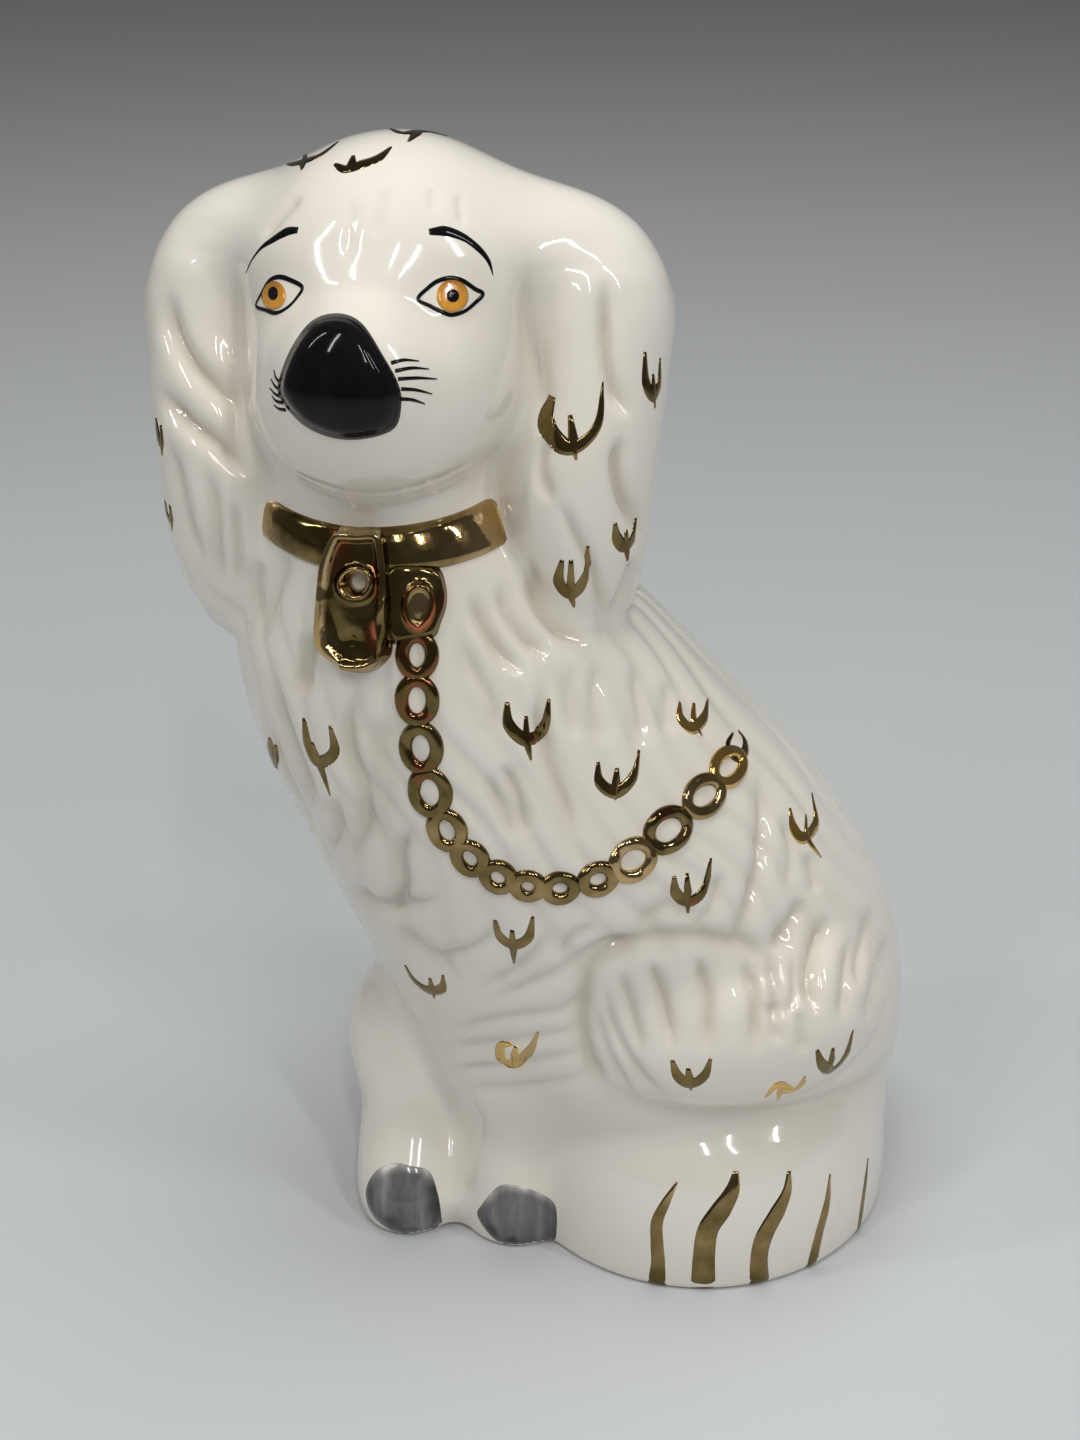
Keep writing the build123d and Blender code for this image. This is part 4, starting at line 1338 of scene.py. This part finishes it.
def hasp_out(pixel):
    """How far a pixel is from the middle of the hasp's cabochon, which ends at 1."""
    x = (pixel[0] - HASP_CENTRE[0]) / CABOCHON_RADII[0]
    y = (pixel[1] - HASP_CENTRE[1]) / CABOCHON_RADII[1]
    return math.hypot(x, y)


def hasp_reflection_tone(t, pixel):
    """Painted reflections: gold on the cabochon, red round it and olive on the plate."""
    out = hasp_out(pixel)
    return 0.2 + 0.3 * fade(1.0, 0.6, out) - 0.16 * bell(out - 1.1, 0.15)


def hasp_height(t, pixel):
    """The hasp's plate with an oval cabochon in a raised rim."""
    out = hasp_out(pixel)
    dome = 0.5 * max(1 - out * out, 0)
    return 0.2 + HASP_RELIEF * fade(1.0, 0.8, t) + 0.8 * bell(out - 1, 0.2) + dome


def chain():
    """Fourteen oval links in low relief, and a last one that is only brushed on and open at its top."""
    clay = Clay()
    route = np.array(CHAIN_PIXELS, float)
    runs = np.gradient(route, axis=0)
    for place, run, half, tone in zip(route, runs, LINK_HALF_LENGTHS, LINK_REFLECTION_TONES):
        long_axis = run / np.linalg.norm(run)
        cross_axis = np.array((-long_axis[1], long_axis[0]))
        oval = [place + half * math.cos(a) * long_axis + LINK_SLIM * half * math.sin(a) * cross_axis
                for a in np.linspace(0, 2 * math.pi, 10, endpoint=False)]
        brush_stroke(clay, oval, LINK_BAND, LINK_RELIEF, across=7, closed=True, flat=0.3, tone=tone)
    brush_stroke(clay, LAST_LINK, LAST_LINK_WIDTHS, FILM, tone=LAST_LINK_REFLECTION_TONE)
    clay.piece("chain_links", "relief", GOLD, "gilding")


def lock_and_hasp():
    """The sprigged padlock and the plate beside it."""
    padlock = Clay()
    patch(padlock, PADLOCK_OUTLINE, BOSS_PIXEL, padlock_height, rings=40, per_span=10, hole=BOSS_HOLE,
          tone=padlock_reflection_tone)
    padlock.piece("padlock", "relief", GOLD, "gilding")
    hasp = Clay()
    patch(hasp, HASP_OUTLINE, HASP_CENTRE, hasp_height, rings=24, per_span=8, tone=hasp_reflection_tone)
    hasp.piece("chain_hasp", "relief", GOLD, "gilding")


collar()
lock_and_hasp()
chain()

# Floor, light and camera
# Lamp tubes: (place in metres, power in watts)
TUBES = [
    ((0.25, -0.75, 0.85), 1.6),
    ((0.55, -0.70, 0.85), 1.6),
    ((0.80, -0.30, 0.85), 1.6),
    ((-0.35, -0.60, 0.90), 1.2),
    ((-0.70, -0.40, 0.90), 1.2),
]
TUBE_WIDTH = 0.025
TUBE_LENGTH = 0.42
OVERHEAD_PLACE = (0.0, 0.0, 1.3)
OVERHEAD_SIZE = 0.8
OVERHEAD_POWER = 8.0
WORLD_COLOUR = (0.86, 0.85, 0.84)
WORLD_STRENGTH = 0.13
FLOOR_SIZE = 8.0
FLOOR_COLOUR = (0.62, 0.64, 0.65)


def floor():
    """A plain pale floor."""
    material, nodes, links, shader = principled("floor", Roughness=0.6)
    colour = ramp(nodes, links, noise(nodes, links, 3, 3),
                  [(0.3, tuple(0.97 * c for c in FLOOR_COLOUR)), (0.7, FLOOR_COLOUR)])
    links.new(colour, shader.inputs["Base Color"])
    half = FLOOR_SIZE / 2 / MM
    corners = [(-half, -half, 0), (half, -half, 0), (half, half, 0), (-half, half, 0)]
    new_piece("floor", corners, [(0, 1, 2, 3)], material)


def lamp(name, place, width, length, power, aim=(-0.01, -0.01, 0.11)):
    """A soft rectangular lamp that faces the figure; metres and watts."""
    light = bpy.data.lights.new(name, "AREA")
    light.shape = "RECTANGLE"
    light.size = width
    light.size_y = length
    light.energy = power
    made = bpy.data.objects.new(name, light)
    made.location = place
    made.rotation_euler = (Vector(aim) - Vector(place)).to_track_quat("-Z", "Y").to_euler()
    bpy.context.scene.collection.objects.link(made)
    return made


def camera():
    """The camera fitted to the photograph."""
    data = bpy.data.cameras.new("camera")
    data.sensor_width = 36
    data.lens = 36 * FOCAL_PIXELS / PHOTO_HEIGHT
    made = bpy.data.objects.new("camera", data)
    made.location = CAMERA_PLACE * MM
    made.rotation_euler = (math.radians(90 - CAMERA_DIP), 0, math.radians(CAMERA_BEARING))
    bpy.context.scene.collection.objects.link(made)
    bpy.context.scene.camera = made


def world():
    """Even pale surroundings."""
    made = bpy.data.worlds.new("studio")
    made.use_nodes = True
    background = made.node_tree.nodes["Background"]
    background.inputs["Color"].default_value = (*WORLD_COLOUR, 1)
    background.inputs["Strength"].default_value = WORLD_STRENGTH
    bpy.context.scene.world = made


floor()
for number, (place, power) in enumerate(TUBES):
    lamp(f"tube_{number}", place, TUBE_WIDTH, TUBE_LENGTH, power)
overhead = lamp("overhead", OVERHEAD_PLACE, OVERHEAD_SIZE, OVERHEAD_SIZE, OVERHEAD_POWER)
overhead.visible_glossy = False
camera()
world()
bpy.context.scene.view_settings.view_transform = "Standard"
